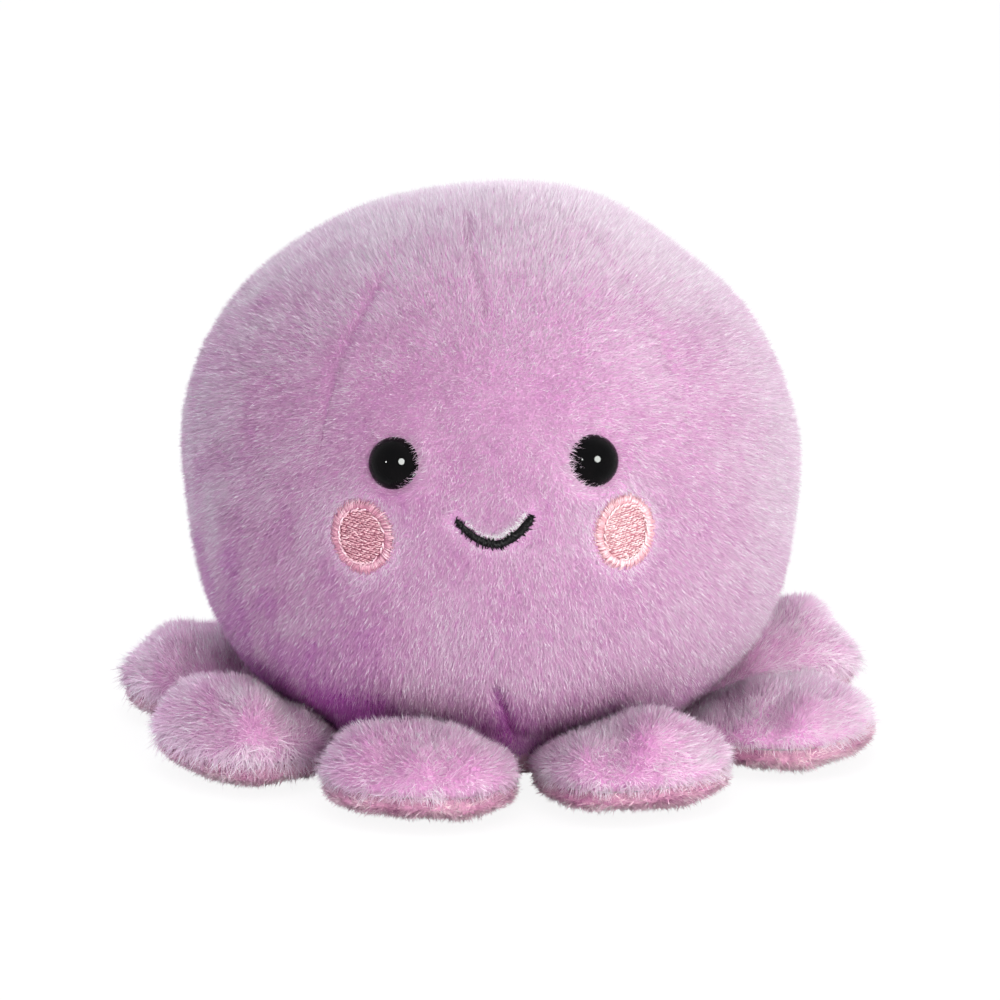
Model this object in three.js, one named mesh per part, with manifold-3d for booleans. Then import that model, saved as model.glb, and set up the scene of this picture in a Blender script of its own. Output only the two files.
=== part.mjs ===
// A palm-sized stuffed octopus toy. The round plush head is sewn from four panels over a flat base,
// and eight plump arms are sewn into the seam between them. Each arm bends at its sewn root.
// Millimetres, +Z up, standing on Z = 0 under the middle of the head, the face towards -Y.

import * as THREE from 'three';
import { mergeVertices } from 'three/addons/utils/BufferGeometryUtils.js';
import Module from 'manifold-3d';

const wasm = await Module();
wasm.setup();

const degree = Math.PI / 180;
const wholeTurn = 360 * degree;
const upright = 90 * degree;

// Head skin: a round cross-section, an ellipse above its widest height and a fuller curve below it.
const headRadius = 50.5;
const headHeight = 92.2;
const waistHeight = 46.6;
const headOverhang = 16.5;
const crownFullness = 2;
const lowerFullness = 2.6;
const clothThickness = 1;
const creaseDepth = 1.3;
const creaseWidth = 3.5;

// Longitudes of the head's four seams and of the face, seen from above, from the front towards +X.
const faceTurn = 1 * degree;
const leftSeam = -34 * degree;
const rightSeam = 43 * degree;
const backRightSeam = 137 * degree;
const backLeftSeam = 232 * degree;

// What touches on the real toy lies this far apart here, and the arms' coarser stuffing a little more.
const seatGap = 0.3;
const stuffingGap = 0.75;

// Arms: each bends about a straight line at its sewn root, which the head overhangs.
const armRootDistance = headRadius - headOverhang;
const armRootHeight = 4.6;
const armRootRadius = 1;
const armReach = 28.5;
const armSpacing = 3.8;
const armCrown = 8.6;
const armTipRise = 1.2;
const armFloorGap = 0.2;
const armRootWidthShare = 0.7;
const armWidestShare = 0.55;
const armBellyShare = 0.5;
const armHeelShare = 0.25;
const armTipFullness = 2.2;
const armSwellSkew = 1.357;
const armSwellFullness = 0.7;
const armBellyFlatness = 0.6;
const armRootThinShare = 0.6;
const armStuffingShares = [0.14, 0.94];
const armPlaces = [
  { name: 'front_left', azimuth: -13 * degree, reachShare: 1, crownShare: 1 },
  { name: 'front_right', azimuth: 28.5 * degree, reachShare: 1, crownShare: 1 },
  { name: 'right_front', azimuth: 71 * degree, reachShare: 1.1, crownShare: 0.78 },
  { name: 'right_back', azimuth: 115 * degree, reachShare: 1.17, crownShare: 1.15 },
  { name: 'back_right', azimuth: 162 * degree, reachShare: 1, crownShare: 1 },
  { name: 'back_left', azimuth: 210 * degree, reachShare: 1, crownShare: 0.95 },
  { name: 'left_back', azimuth: 256 * degree, reachShare: 1.05, crownShare: 0.9 },
  { name: 'left_front', azimuth: 302.5 * degree, reachShare: 0.97, crownShare: 1.1 },
];

// Face: heights above the floor, spacings as seen from the front.
const eyeHeight = 57.4;
const eyeSpacing = 32;
const eyeDiameter = 8.6;
const eyeDome = 2.8;
const eyeRim = 0.5;
const stemDiameter = 3;
const stemLength = 10;
const stemRidge = 0.45;
const stemRidgePitch = 1.9;
const washerDiameter = 11;
const washerThickness = 1;
const washerDish = 0.8;
const washerDishShare = 0.5;
const cheekWidth = 10.8;
const cheekHeight = 12;
const cheekBelowEye = 2.9;
const cheekOutward = 23.5 * degree;
const cheekBorderWidth = 1.6;
const stitchHeight = 1;
const cheekFieldShare = 0.95;
const mouthWidth = 12.4;
const mouthDepth = 4.3;
const mouthBelowEyes = 8.3;
const mouthThickness = 1.7;
const mouthEndFullness = 6;

// Weight: a bag of pellets on the base.
const baseFlatShare = 0.8;
const lowestSkinShare = 1.12;
const pelletBagRadius = 21;
const pelletBagHeight = 12;
const pelletBagCloth = 0.5;
const fillingSlitLength = 12;
const fillingSlitWidth = 1.2;
const bagFootShare = 0.7;

// Facets: how many rows, columns and sides each form is made of.
const panelRows = 15;
const panelColumns = 12;
const facePanelColumns = 10;
const stuffingRows = 13;
const baseColumns = 40;
const baseCurveRows = 4;
const baseInnerCurveRows = 3;
const roundSides = 24;
const innerSides = 20;
const holeSides = 12;
const domeRows = 6;
const bagSideRows = 3;
const bagDomeRows = 5;
const armTop = { columns: 8, rootRows: 3, tipRows: 5 };
const armUnderside = { columns: 6, rootRows: 3, tipRows: 4 };
const armStuffingColumns = 6;
const armStuffingRows = 4;
const padSides = 22;
const padRings = 3;
const padEdgeRows = 4;
const mouthRows = 14;
const mouthSides = 6;

// Finishes.
const lilacPlush = { color: new THREE.Color(0.79, 0.6, 0.76), roughness: 0.95 };
const pinkPlush = { color: new THREE.Color(0.87, 0.69, 0.77), roughness: 0.95 };
const cheekThread = { color: new THREE.Color(0.88, 0.66, 0.7), roughness: 0.8 };
const cheekEdgeThread = { color: new THREE.Color(0.91, 0.72, 0.75), roughness: 0.7 };
const mouthThread = { color: new THREE.Color(0.06, 0.05, 0.06), roughness: 0.6 };
const eyeGloss = { color: new THREE.Color(0.03, 0.03, 0.035), roughness: 0.08 };
const whiteMoulding = { color: new THREE.Color(0.88, 0.88, 0.86), roughness: 0.5 };
const whiteFill = { color: new THREE.Color(0.93, 0.93, 0.91), roughness: 1 };
const bagCloth = { color: new THREE.Color(0.8, 0.8, 0.78), roughness: 0.9 };

// The sewn ring where head, base and arms meet, from the arms' roots.
const rimDistance = armRootDistance - armRootRadius - seatGap;
const rimHeight = armRootHeight + armRootRadius;
const headEdgeHeight = rimHeight + seatGap;
const baseFlatRadius = rimDistance * baseFlatShare;
const insideSkin = clothThickness + seatGap;

// Sheets, solids and booleans.

/** Triangles of a grid of points, which may close on itself along its columns and its rows. */
function sheetTriangles(rows, closedColumns, closedRows = false) {
  const triangles = [];
  const lastRow = closedRows ? rows.length : rows.length - 1;
  for (let i = 0; i < lastRow; i += 1) {
    const here = rows[i];
    const there = rows[(i + 1) % rows.length];
    const lastColumn = closedColumns ? here.length : here.length - 1;
    for (let j = 0; j < lastColumn; j += 1) {
      const next = (j + 1) % here.length;
      triangles.push(here[j], here[next], there[next], here[j], there[next], there[j]);
    }
  }
  return triangles;
}

/** One closed mesh from triangles: equal points joined, empty triangles left out, faces pointing out. */
function closedGeometry(triangles) {
  const loose = new THREE.BufferGeometry().setFromPoints(triangles);
  const joined = mergeVertices(loose);
  const corners = joined.index.array;
  const place = joined.attributes.position;
  const kept = [];
  let volume = 0;
  const points = [new THREE.Vector3(), new THREE.Vector3(), new THREE.Vector3()];
  for (let i = 0; i < corners.length; i += 3) {
    const [a, b, c] = [corners[i], corners[i + 1], corners[i + 2]];
    if (a === b || b === c || c === a) continue;
    points.forEach((point, k) => point.fromBufferAttribute(place, corners[i + k]));
    volume += points[0].dot(points[1].clone().cross(points[2]));
    kept.push(a, b, c);
  }
  if (volume < 0) kept.reverse();
  joined.setIndex(kept);
  return joined;
}

/** A solid between two sheets whose edges have as many points: cloth with a front and a back. */
function shellGeometry(outer, inner, closedColumns) {
  const triangles = sheetTriangles(outer, closedColumns);
  triangles.push(...sheetTriangles(inner, closedColumns).reverse());
  const last = outer.length - 1;
  const lastInner = inner.length - 1;
  triangles.push(...sheetTriangles([inner[0], outer[0]], closedColumns));
  triangles.push(...sheetTriangles([outer[last], inner[lastInner]], closedColumns));
  if (!closedColumns) {
    const side = (sheet, end) => sheet.map((row) => row.at(end));
    triangles.push(...sheetTriangles([side(outer, 0), side(inner, 0)], false));
    triangles.push(...sheetTriangles([side(inner, -1), side(outer, -1)], false));
  }
  return closedGeometry(triangles);
}

/** A revolved solid from a profile of [radius, height] pairs, turned about +Z. */
function revolved(profile, sides = roundSides) {
  const outline = profile.map(([radius, height]) => new THREE.Vector2(radius, height));
  const lathe = new THREE.LatheGeometry(outline, sides).rotateX(upright);
  const corners = lathe.index.array;
  const place = lathe.attributes.position;
  return closedGeometry(Array.from(corners, (k) => new THREE.Vector3().fromBufferAttribute(place, k)));
}

/** A closed geometry as a boolean solid. */
function solid(geometry) {
  const bare = geometry.clone();
  bare.deleteAttribute('normal');
  bare.deleteAttribute('uv');
  const joined = mergeVertices(bare);
  const vertProperties = new Float32Array(joined.attributes.position.array);
  const triVerts = new Uint32Array(joined.index.array);
  return new wasm.Manifold(new wasm.Mesh({ numProp: 3, vertProperties, triVerts }));
}

/** A boolean solid back as a geometry. */
function geometryOf(body) {
  const mesh = body.getMesh();
  const geometry = new THREE.BufferGeometry();
  geometry.setAttribute('position', new THREE.BufferAttribute(new Float32Array(mesh.vertProperties), 3));
  geometry.setIndex(Array.from(mesh.triVerts));
  return geometry;
}

/** One geometry with others cut out of it. */
function cutFrom(geometry, cutters) {
  return geometryOf(cutters.reduce((body, cutter) => body.subtract(solid(cutter)), solid(geometry)));
}

/** A point in cylindrical places: longitude runs from the front towards +X. */
function around(longitude, radius, height) {
  return new THREE.Vector3(radius * Math.sin(longitude), -radius * Math.cos(longitude), height);
}

/** Evenly spaced values from one end to the other, both included. */
function steps(count, from, to) {
  return Array.from({ length: count + 1 }, (_, i) => THREE.MathUtils.lerp(from, to, i / count));
}

/** Equally spaced longitudes round a whole turn, without the last, which is the first again. */
function turns(count) {
  return steps(count, 0, wholeTurn).slice(0, count);
}

const parts = new THREE.Group();

/** Adds one named piece in its own material. */
function addPiece(name, geometry, finish, home = parts) {
  const material = new THREE.MeshStandardMaterial({ ...finish, metalness: 0 });
  const mesh = new THREE.Mesh(geometry, material);
  mesh.name = name;
  home.add(mesh);
  return mesh;
}

// Head.

/** The head's profile at a tilt above its waist, inset along its own normal. */
function headProfile(tilt, inset) {
  const below = tilt < 0;
  const fullness = below ? lowerFullness : crownFullness;
  const rise = below ? waistHeight : headHeight - waistHeight;
  const across = Math.max(Math.cos(tilt), 0) ** (2 / fullness);
  const along = Math.sign(tilt) * Math.abs(Math.sin(tilt)) ** (2 / fullness);
  const facing = new THREE.Vector2(
    across ** (fullness - 1) / headRadius,
    (Math.sign(along) * Math.abs(along) ** (fullness - 1)) / rise,
  ).normalize();
  return {
    radius: headRadius * across - inset * facing.x,
    height: waistHeight + rise * along - inset * facing.y,
    facing,
  };
}

/** The tilt at which the skin's outside is this high. */
function tiltAtHeight(height) {
  const below = height < waistHeight;
  const fullness = below ? lowerFullness : crownFullness;
  const rise = below ? waistHeight : headHeight - waistHeight;
  const share = Math.min(Math.abs(height - waistHeight) / rise, 1);
  return Math.sign(height - waistHeight) * Math.asin(share ** (fullness / 2));
}

/** The tilt, below the waist, at which the skin's outside has this radius. */
function tiltAtRadius(radius) {
  return -Math.acos((radius / headRadius) ** (lowerFullness / 2));
}

/** How deep the nearest seam draws the skin in. */
function creaseAt(longitude, tilt, radius) {
  const seams = [leftSeam, rightSeam, backRightSeam, backLeftSeam];
  const nearest = Math.max(...seams.map((seam) => Math.cos(longitude - seam)));
  const distance = radius * Math.acos(Math.min(nearest, 1));
  return creaseDepth * Math.sqrt(Math.max(Math.cos(tilt), 0)) * Math.exp(-((distance / creaseWidth) ** 2));
}

/** A point of the head's skin. */
function headPoint(longitude, tilt, inset) {
  const crease = creaseAt(longitude, tilt, headProfile(tilt, 0).radius);
  const { radius, height } = headProfile(tilt, inset + crease);
  return around(longitude, radius, height);
}

/** Distance from the axis to the sewn ring, which runs straight along each arm's root. */
function rimRadius(longitude) {
  const reaches = armPlaces.map(({ azimuth }) => Math.cos(longitude - azimuth));
  return rimDistance / Math.max(...reaches);
}

const startTilt = tiltAtRadius(rimDistance * lowestSkinShare);

/** One side of a head panel, from the sewn ring to the crown between two seams. */
function panelSheet(fromSeam, toSeam, columns, inset) {
  const middle = (fromSeam + toSeam) / 2;
  const half = (toSeam - fromSeam) / 2;
  const sides = steps(columns, -1, 1).map((share) => (share + Math.sin(share * upright)) / 2);
  const longitudes = (radius) => {
    const reach = half - Math.asin(seatGap / 2 / radius);
    return sides.map((side) => middle + side * reach);
  };
  const edge = longitudes(rimDistance).map((longitude) => (
    around(longitude, rimRadius(longitude) - inset, headEdgeHeight)
  ));
  const rows = steps(panelRows, startTilt, upright).slice(0, panelRows).map((tilt) => (
    longitudes(headProfile(tilt, 0).radius).map((longitude) => headPoint(longitude, tilt, inset))
  ));
  const top = around(middle, seatGap / 2 / Math.sin(half), headProfile(upright, inset).height);
  return [edge, ...rows, sides.map(() => top)];
}

/** A sewn head panel of one cloth thickness. */
function panelGeometry(fromSeam, toSeam, columns) {
  const outer = panelSheet(fromSeam, toSeam, columns, 0);
  const inner = panelSheet(fromSeam, toSeam, columns, clothThickness);
  return shellGeometry(outer, inner, false);
}

/** A place on the face: longitude from a spacing seen from the front, and the skin's normal there. */
function faceSpot(sideways, height) {
  const tilt = tiltAtHeight(height);
  const { radius, facing } = headProfile(tilt, 0);
  const longitude = faceTurn + Math.asin(sideways / radius);
  return {
    longitude,
    height,
    normal: around(longitude, facing.x, facing.y).normalize(),
    point: headPoint(longitude, tilt, 0),
  };
}

/** A point near a face spot, so far along the skin sideways and upwards, lifted off the skin. */
function skinPoint(spot, sideways, upwards, lift) {
  const tilt = tiltAtHeight(spot.height + upwards);
  const longitude = spot.longitude + sideways / headProfile(tilt, 0).radius;
  return headPoint(longitude, tilt, -lift);
}

// Eyes: a dome with a flat back on a ridged stem, held by a dished washer inside the panel.

const eyeRadius = eyeDiameter / 2;
const stemRadius = stemDiameter / 2;
const ridgeRadius = stemRadius + stemRidge;
const stemHoleRadius = ridgeRadius + seatGap;
const washerBore = stemRadius + seatGap;
const washerRadius = washerDiameter / 2;
const skinSag = washerRadius ** 2 / headRadius;
const washerDepth = seatGap + clothThickness + seatGap + skinSag;

/** Profile of an eye, height zero at its flat back, from the stem's point to the dome's top. */
function eyeProfile() {
  const shaft = [];
  const firstRidge = washerDepth + washerThickness + washerDish + seatGap;
  const ridges = Math.max(1, Math.floor((stemLength - firstRidge) / stemRidgePitch));
  for (let i = ridges - 1; i >= 0; i -= 1) {
    const depth = firstRidge + i * stemRidgePitch;
    shaft.push([stemRadius, -depth - stemRidgePitch / 2], [ridgeRadius, -depth]);
    shaft.push([stemRadius, -depth]);
  }
  const dome = steps(domeRows, 0, upright).map((turn) => (
    [eyeRadius * Math.cos(turn), eyeRim + (eyeDome - eyeRim) * Math.sin(turn)]
  ));
  const point = [[0, -stemLength], [stemRadius / 2, -stemLength]];
  return [...point, ...shaft, [stemRadius, 0], [eyeRadius - eyeRim, 0], ...dome];
}

/** Closed profile of the dished lock washer, height zero at its face towards the cloth. */
function washerProfile() {
  const flat = THREE.MathUtils.lerp(washerBore, washerRadius, washerDishShare);
  return [
    [washerBore, -washerDish],
    [flat, 0],
    [washerRadius, 0],
    [washerRadius, -washerThickness],
    [flat, -washerThickness],
    [washerBore, -washerDish - washerThickness],
    [washerBore, -washerDish],
  ];
}

/** Turns a piece built along +Z to stand on the skin at a face spot. */
function standOn(mesh, spot, lift) {
  mesh.quaternion.setFromUnitVectors(new THREE.Vector3(0, 0, 1), spot.normal);
  mesh.position.copy(spot.point).addScaledVector(spot.normal, lift);
  return mesh;
}

/** A cylinder along a face spot's normal, from one depth below the skin to another. */
function plug(spot, radius, fromDepth, toDepth) {
  const rod = new THREE.CylinderGeometry(radius, radius, toDepth - fromDepth, holeSides);
  const turn = new THREE.Quaternion().setFromUnitVectors(new THREE.Vector3(0, 1, 0), spot.normal);
  const middle = spot.point.clone().addScaledVector(spot.normal, -(fromDepth + toDepth) / 2);
  return rod.applyQuaternion(turn).translate(...middle);
}

const sidesOfFace = [{ name: 'left', side: -1 }, { name: 'right', side: 1 }];
const eyeSpots = sidesOfFace.map(({ side }) => faceSpot((side * eyeSpacing) / 2, eyeHeight));

const facePanel = panelGeometry(leftSeam, rightSeam, facePanelColumns);
const stemHoles = eyeSpots.map((spot) => plug(spot, stemHoleRadius, -stemLength, stemLength));
addPiece('front_panel', cutFrom(facePanel, stemHoles), lilacPlush);
addPiece('right_side_panel', panelGeometry(rightSeam, backRightSeam, panelColumns), lilacPlush);
addPiece('back_panel', panelGeometry(backRightSeam, backLeftSeam, panelColumns), lilacPlush);
addPiece('left_side_panel', panelGeometry(backLeftSeam, leftSeam + wholeTurn, panelColumns), lilacPlush);

sidesOfFace.forEach(({ name }, i) => {
  const eye = addPiece(`${name}_eye`, revolved(eyeProfile()), eyeGloss);
  standOn(eye, eyeSpots[i], seatGap);
  const washer = addPiece(`${name}_eye_washer`, revolved(washerProfile()), whiteMoulding);
  standOn(washer, eyeSpots[i], seatGap - washerDepth);
});

// Cheeks: a padded field of stitches inside a raised ring of satin stitch.

/** A point of a cheek's oval so far in from its outline, or of a smaller share of that oval. */
function cheekPoint(spot, turn, inward, lift, share = 1) {
  const sideways = share * (cheekWidth / 2 - inward) * Math.cos(turn);
  const upwards = share * (cheekHeight / 2 - inward) * Math.sin(turn);
  return skinPoint(spot, sideways, upwards, lift);
}

/** The raised oval field of stitches inside a cheek's ring. */
function cheekField(spot) {
  const edge = cheekBorderWidth + seatGap;
  const sheet = (height) => steps(padRings, 0, 1).map((share) => turns(padSides).map((turn) => {
    const swell = height * Math.sqrt(1 - (share * cheekFieldShare) ** 2);
    return cheekPoint(spot, turn, edge, seatGap + swell, share);
  }));
  return shellGeometry(sheet(stitchHeight), sheet(0), true);
}

/** The raised ring of satin stitch round a cheek, of half-round section. */
function cheekRing(spot) {
  const half = cheekBorderWidth / 2;
  const section = steps(padEdgeRows, 0, Math.PI);
  const rows = turns(padSides).map((turn) => section.map((bend) => (
    cheekPoint(spot, turn, half - half * Math.cos(bend), seatGap + stitchHeight * Math.sin(bend))
  )));
  return closedGeometry(sheetTriangles(rows, true, true));
}

const cheekFromEye = eyeRadius + cheekHeight / 2 + cheekBelowEye;
sidesOfFace.forEach(({ name, side }) => {
  const sideways = side * (eyeSpacing / 2 + cheekFromEye * Math.sin(cheekOutward));
  const spot = faceSpot(sideways, eyeHeight - cheekFromEye * Math.cos(cheekOutward));
  addPiece(`${name}_cheek_fill`, cheekField(spot), cheekThread);
  addPiece(`${name}_cheek_border`, cheekRing(spot), cheekEdgeThread);
});

// Mouth: a smile of satin stitch, thickest in the middle and pointed at both ends.

/** The smile, swept along its arc over the skin. */
function mouthGeometry() {
  const spot = faceSpot(0, eyeHeight - mouthBelowEyes);
  const bends = turns(mouthSides);
  const arc = (share) => new THREE.Vector2((share * mouthWidth) / 2, -mouthDepth * (1 - share * share));
  const rows = steps(mouthRows, -1, 1).map((share) => {
    const middle = arc(share);
    const slope = (4 * mouthDepth * share) / mouthWidth;
    const across = new THREE.Vector2(-slope, 1).normalize();
    const half = (mouthThickness / 2) * Math.sqrt(Math.max(1 - share ** mouthEndFullness, 0));
    return bends.map((bend) => {
      const offset = half * Math.cos(bend);
      const lift = seatGap + (stitchHeight / 2) * (1 + (half / mouthThickness) * 2 * Math.sin(bend));
      return skinPoint(spot, middle.x + across.x * offset, middle.y + across.y * offset, lift);
    });
  });
  return closedGeometry(sheetTriangles(rows, true));
}

addPiece('mouth', mouthGeometry(), mouthThread);

// Base: flat where the toy sits, curving up to the sewn ring.

/** One side of the base, from its middle to the sewn ring. */
function baseSheet(inset, curveRows) {
  const flat = baseFlatRadius;
  const longitudes = turns(baseColumns);
  const ring = (radiusAt, height) => longitudes.map((longitude) => (
    around(longitude, radiusAt(longitude), height)
  ));
  const curve = steps(curveRows, 0, upright).map((turn) => ring(
    (longitude) => flat + (rimRadius(longitude) - inset - flat) * Math.sin(turn),
    inset + (rimHeight - inset) * (1 - Math.cos(turn)),
  ));
  return [ring(() => 0, inset), ...curve];
}

const baseOutside = baseSheet(0, baseCurveRows);
const baseInside = baseSheet(clothThickness, baseInnerCurveRows);
addPiece('base_panel', shellGeometry(baseOutside, baseInside, true), pinkPlush);

// Weight and stuffing.

/** Profile of the pellet bag's space, grown or shrunk all round: flat below, rounded above. */
function bagProfile(grow) {
  const floor = insideSkin - grow;
  const height = pelletBagHeight + 2 * grow;
  const radius = pelletBagRadius + grow;
  const side = steps(bagSideRows, -upright, 0).map((turn) => [
    radius * THREE.MathUtils.lerp(bagFootShare, 1, Math.cos(turn)),
    floor + (height / 2) * (1 + Math.sin(turn)),
  ]);
  const dome = steps(bagDomeRows, 0, upright).slice(1).map((turn) => [
    radius * Math.max(Math.cos(turn), 0),
    floor + (height / 2) * (1 + Math.sin(turn)),
  ]);
  dome.at(-1)[0] = 0;
  return [[0, floor], ...side, ...dome];
}

const slit = new THREE.BoxGeometry(fillingSlitLength, fillingSlitWidth, pelletBagHeight);
slit.translate(0, 0, insideSkin + pelletBagHeight);
const bagHollow = revolved(bagProfile(-pelletBagCloth), innerSides);
addPiece('pellet_bag', cutFrom(revolved(bagProfile(0), innerSides), [bagHollow, slit]), bagCloth);
addPiece('pellet_fill', revolved(bagProfile(-pelletBagCloth - seatGap), innerSides), whiteMoulding);

/** Profile of the head's stuffing, just inside the base and the panels. */
function stuffingProfile() {
  const edge = rimDistance - insideSkin;
  const foot = steps(baseInnerCurveRows, 0, upright).map((turn) => [
    baseFlatRadius + (edge - baseFlatRadius) * Math.sin(turn),
    insideSkin + (rimHeight - insideSkin) * (1 - Math.cos(turn)),
  ]);
  const side = steps(stuffingRows, startTilt, upright).map((tilt) => {
    const { radius, height } = headProfile(tilt, insideSkin + creaseDepth);
    return [Math.max(radius, 0), height];
  });
  side.at(-1)[0] = 0;
  return [[0, insideSkin], ...foot, ...side];
}

const eyePockets = eyeSpots.flatMap((spot) => [
  plug(spot, washerRadius + seatGap, 0, washerDepth + washerThickness + washerDish + seatGap),
  plug(spot, stemHoleRadius, 0, stemLength + seatGap),
]);
const bagSpace = revolved(bagProfile(seatGap), innerSides);
const stuffing = cutFrom(revolved(stuffingProfile()), [bagSpace, ...eyePockets]);
addPiece('body_stuffing', stuffing, whiteFill);

// Arms.

const azimuths = armPlaces.map(({ azimuth }) => azimuth);
const pitches = azimuths.map((azimuth, i) => (
  i + 1 < azimuths.length ? azimuths[i + 1] - azimuth : azimuths[0] + wholeTurn - azimuth
));
const widestDistance = armRootDistance + armReach * armWidestShare;
const armWidth = 2 * widestDistance * Math.sin(Math.min(...pitches) / 2) - armSpacing;

/** The sizes of an arm's skin, inset all round. */
function armSizes({ reachShare, crownShare }, inset) {
  return {
    reach: armReach * reachShare - inset,
    halfWidth: armWidth / 2 - inset,
    rootHalfWidth: (armWidth * armRootWidthShare) / 2 - inset,
    crown: armCrown * crownShare - inset,
    root: armRootRadius * (1 - Math.min(inset / clothThickness, 1) * armRootThinShare),
    inset,
  };
}

/** Half the arm's width at a station between its root, 0, and its tip, 1. */
function armHalfWidth(sizes, station) {
  if (station <= armWidestShare) {
    const share = Math.sin((station / armWidestShare) * upright);
    return THREE.MathUtils.lerp(sizes.rootHalfWidth, sizes.halfWidth, share);
  }
  const share = (station - armWidestShare) / (1 - armWidestShare);
  return sizes.halfWidth * Math.max(1 - share ** armTipFullness, 0) ** (1 / armTipFullness);
}

/** A point of an arm's skin: X outwards from the root line, Y across, Z up from the root line. */
function armPoint(sizes, station, turn, side, seam) {
  const reach = station * sizes.reach;
  const edge = armTipRise * station;
  const across = armHalfWidth(sizes, station) * Math.sin(turn);
  const level = Math.max(Math.cos(turn), 0);
  if (side > 0) {
    const swell = Math.max(Math.sin(Math.PI * station ** armSwellSkew), 0) ** armSwellFullness;
    const height = (sizes.root - seam) * (1 - station) + sizes.crown * swell;
    return new THREE.Vector3(reach, across, edge + seam + height * level);
  }
  const deepest = edge + armRootHeight - armFloorGap - sizes.inset - seam;
  const outer = Math.max(station - armBellyShare, 0) / (1 - armBellyShare);
  const inner = Math.min(station / armHeelShare, 1);
  const depth = station < armBellyShare
    ? THREE.MathUtils.lerp(sizes.root - seam, deepest, Math.sin(inner * upright))
    : deepest * Math.max(1 - outer ** armTipFullness, 0) ** (1 / armTipFullness);
  return new THREE.Vector3(reach, across, edge - seam - depth * level ** armBellyFlatness);
}

/** Stations along an arm, closer together towards the round tip. */
function armStations({ rootRows, tipRows }) {
  const flare = steps(rootRows, 0, armWidestShare);
  const tip = steps(tipRows, 0, upright).slice(1);
  return [...flare, ...tip.map((turn) => armWidestShare + (1 - armWidestShare) * Math.sin(turn))];
}

/** One side of an arm's top or underside, with its root rounded about the root line. */
function armSheet(sizes, side, facets) {
  const across = steps(facets.columns, -upright, upright);
  const seam = seatGap / 2;
  const root = [0, upright / 2].map((bend) => across.map((turn) => {
    const level = Math.max(Math.cos(turn), 0);
    const lift = seam + (sizes.root - seam) * level * Math.sin(bend);
    const out = -sizes.root * level * Math.cos(bend);
    return new THREE.Vector3(out, armHalfWidth(sizes, 0) * Math.sin(turn), side * lift);
  }));
  const rows = armStations(facets).map((station) => (
    across.map((turn) => armPoint(sizes, station, turn, side, seam))
  ));
  return [...root, ...rows];
}

/** An arm's top or underside, of one cloth thickness. */
function armCover(place, side, facets) {
  const outer = armSheet(armSizes(place, 0), side, facets);
  const inner = armSheet(armSizes(place, clothThickness), side, facets);
  return shellGeometry(outer, inner, false);
}

/** An arm's stuffing, which fills the space inside its covers. */
function armStuffing(place) {
  const sizes = armSizes(place, clothThickness + stuffingGap);
  const across = steps(armStuffingColumns, -upright, upright);
  const stations = steps(armStuffingRows, ...armStuffingShares);
  const rows = stations.map((station) => [
    ...across.map((turn) => armPoint(sizes, station, turn, 1, seatGap / 2)),
    ...across.slice(1, -1).reverse().map((turn) => armPoint(sizes, station, turn, -1, seatGap / 2)),
  ]);
  const middleOf = (row) => {
    const middle = row.reduce((sum, point) => sum.add(point), new THREE.Vector3()).divideScalar(row.length);
    return row.map(() => middle);
  };
  return closedGeometry(sheetTriangles([middleOf(rows[0]), ...rows, middleOf(rows.at(-1))], true));
}

armPlaces.forEach((place) => {
  const arm = new THREE.Group();
  arm.position.copy(around(place.azimuth, armRootDistance, armRootHeight));
  arm.rotation.z = place.azimuth - upright;
  parts.add(arm);
  addPiece(`arm_${place.name}_top`, armCover(place, 1, armTop), lilacPlush, arm);
  addPiece(`arm_${place.name}_underside`, armCover(place, -1, armUnderside), pinkPlush, arm);
  addPiece(`arm_${place.name}_stuffing`, armStuffing(place), whiteFill, arm);
});

export default parts;
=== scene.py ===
"""Looks for the stuffed octopus: sewn plush with a real pile, stitched face, glossy eyes and a plain studio.

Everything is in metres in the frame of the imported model: +Z up, the face towards -Y, the floor at Z = 0.
"""

import logging
import math
from dataclasses import dataclass, field, replace
from enum import Enum

import bmesh
import bpy
import numpy as np
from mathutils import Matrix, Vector


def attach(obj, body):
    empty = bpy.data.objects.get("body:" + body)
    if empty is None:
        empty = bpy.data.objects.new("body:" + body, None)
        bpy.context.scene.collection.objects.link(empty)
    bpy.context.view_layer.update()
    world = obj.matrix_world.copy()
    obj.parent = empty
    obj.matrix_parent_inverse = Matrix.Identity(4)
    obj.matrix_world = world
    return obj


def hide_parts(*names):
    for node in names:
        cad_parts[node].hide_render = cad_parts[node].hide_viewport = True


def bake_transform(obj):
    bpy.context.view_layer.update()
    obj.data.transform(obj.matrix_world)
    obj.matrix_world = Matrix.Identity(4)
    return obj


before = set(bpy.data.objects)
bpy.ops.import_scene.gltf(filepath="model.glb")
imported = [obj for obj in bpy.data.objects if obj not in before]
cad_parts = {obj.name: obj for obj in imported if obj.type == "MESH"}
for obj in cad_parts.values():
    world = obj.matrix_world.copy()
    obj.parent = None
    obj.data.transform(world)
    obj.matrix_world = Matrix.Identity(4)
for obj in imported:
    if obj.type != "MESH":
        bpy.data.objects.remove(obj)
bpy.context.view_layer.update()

Array = np.ndarray
Colour = tuple[float, float, float, float]
Pair = tuple[float, float]
Solid = tuple[Array, list[Array]]
Piece = bpy.types.Object
Material = bpy.types.Material
Socket = bpy.types.NodeSocket
log = logging.getLogger("octopus")

MM = 0.001
UP = np.array([0.0, 0.0, 1.0])
ONE_POINT = 0.001 * MM
LEAST_LENGTH = 1e-12
BAKE_MAP = "OFBake"


class Side(Enum):
    """The two sides of the face, as seen from the front."""

    LEFT = -1
    RIGHT = 1


class Cover(Enum):
    """The two covers that an arm is sewn from."""

    TOP = 1
    UNDERSIDE = -1


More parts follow.
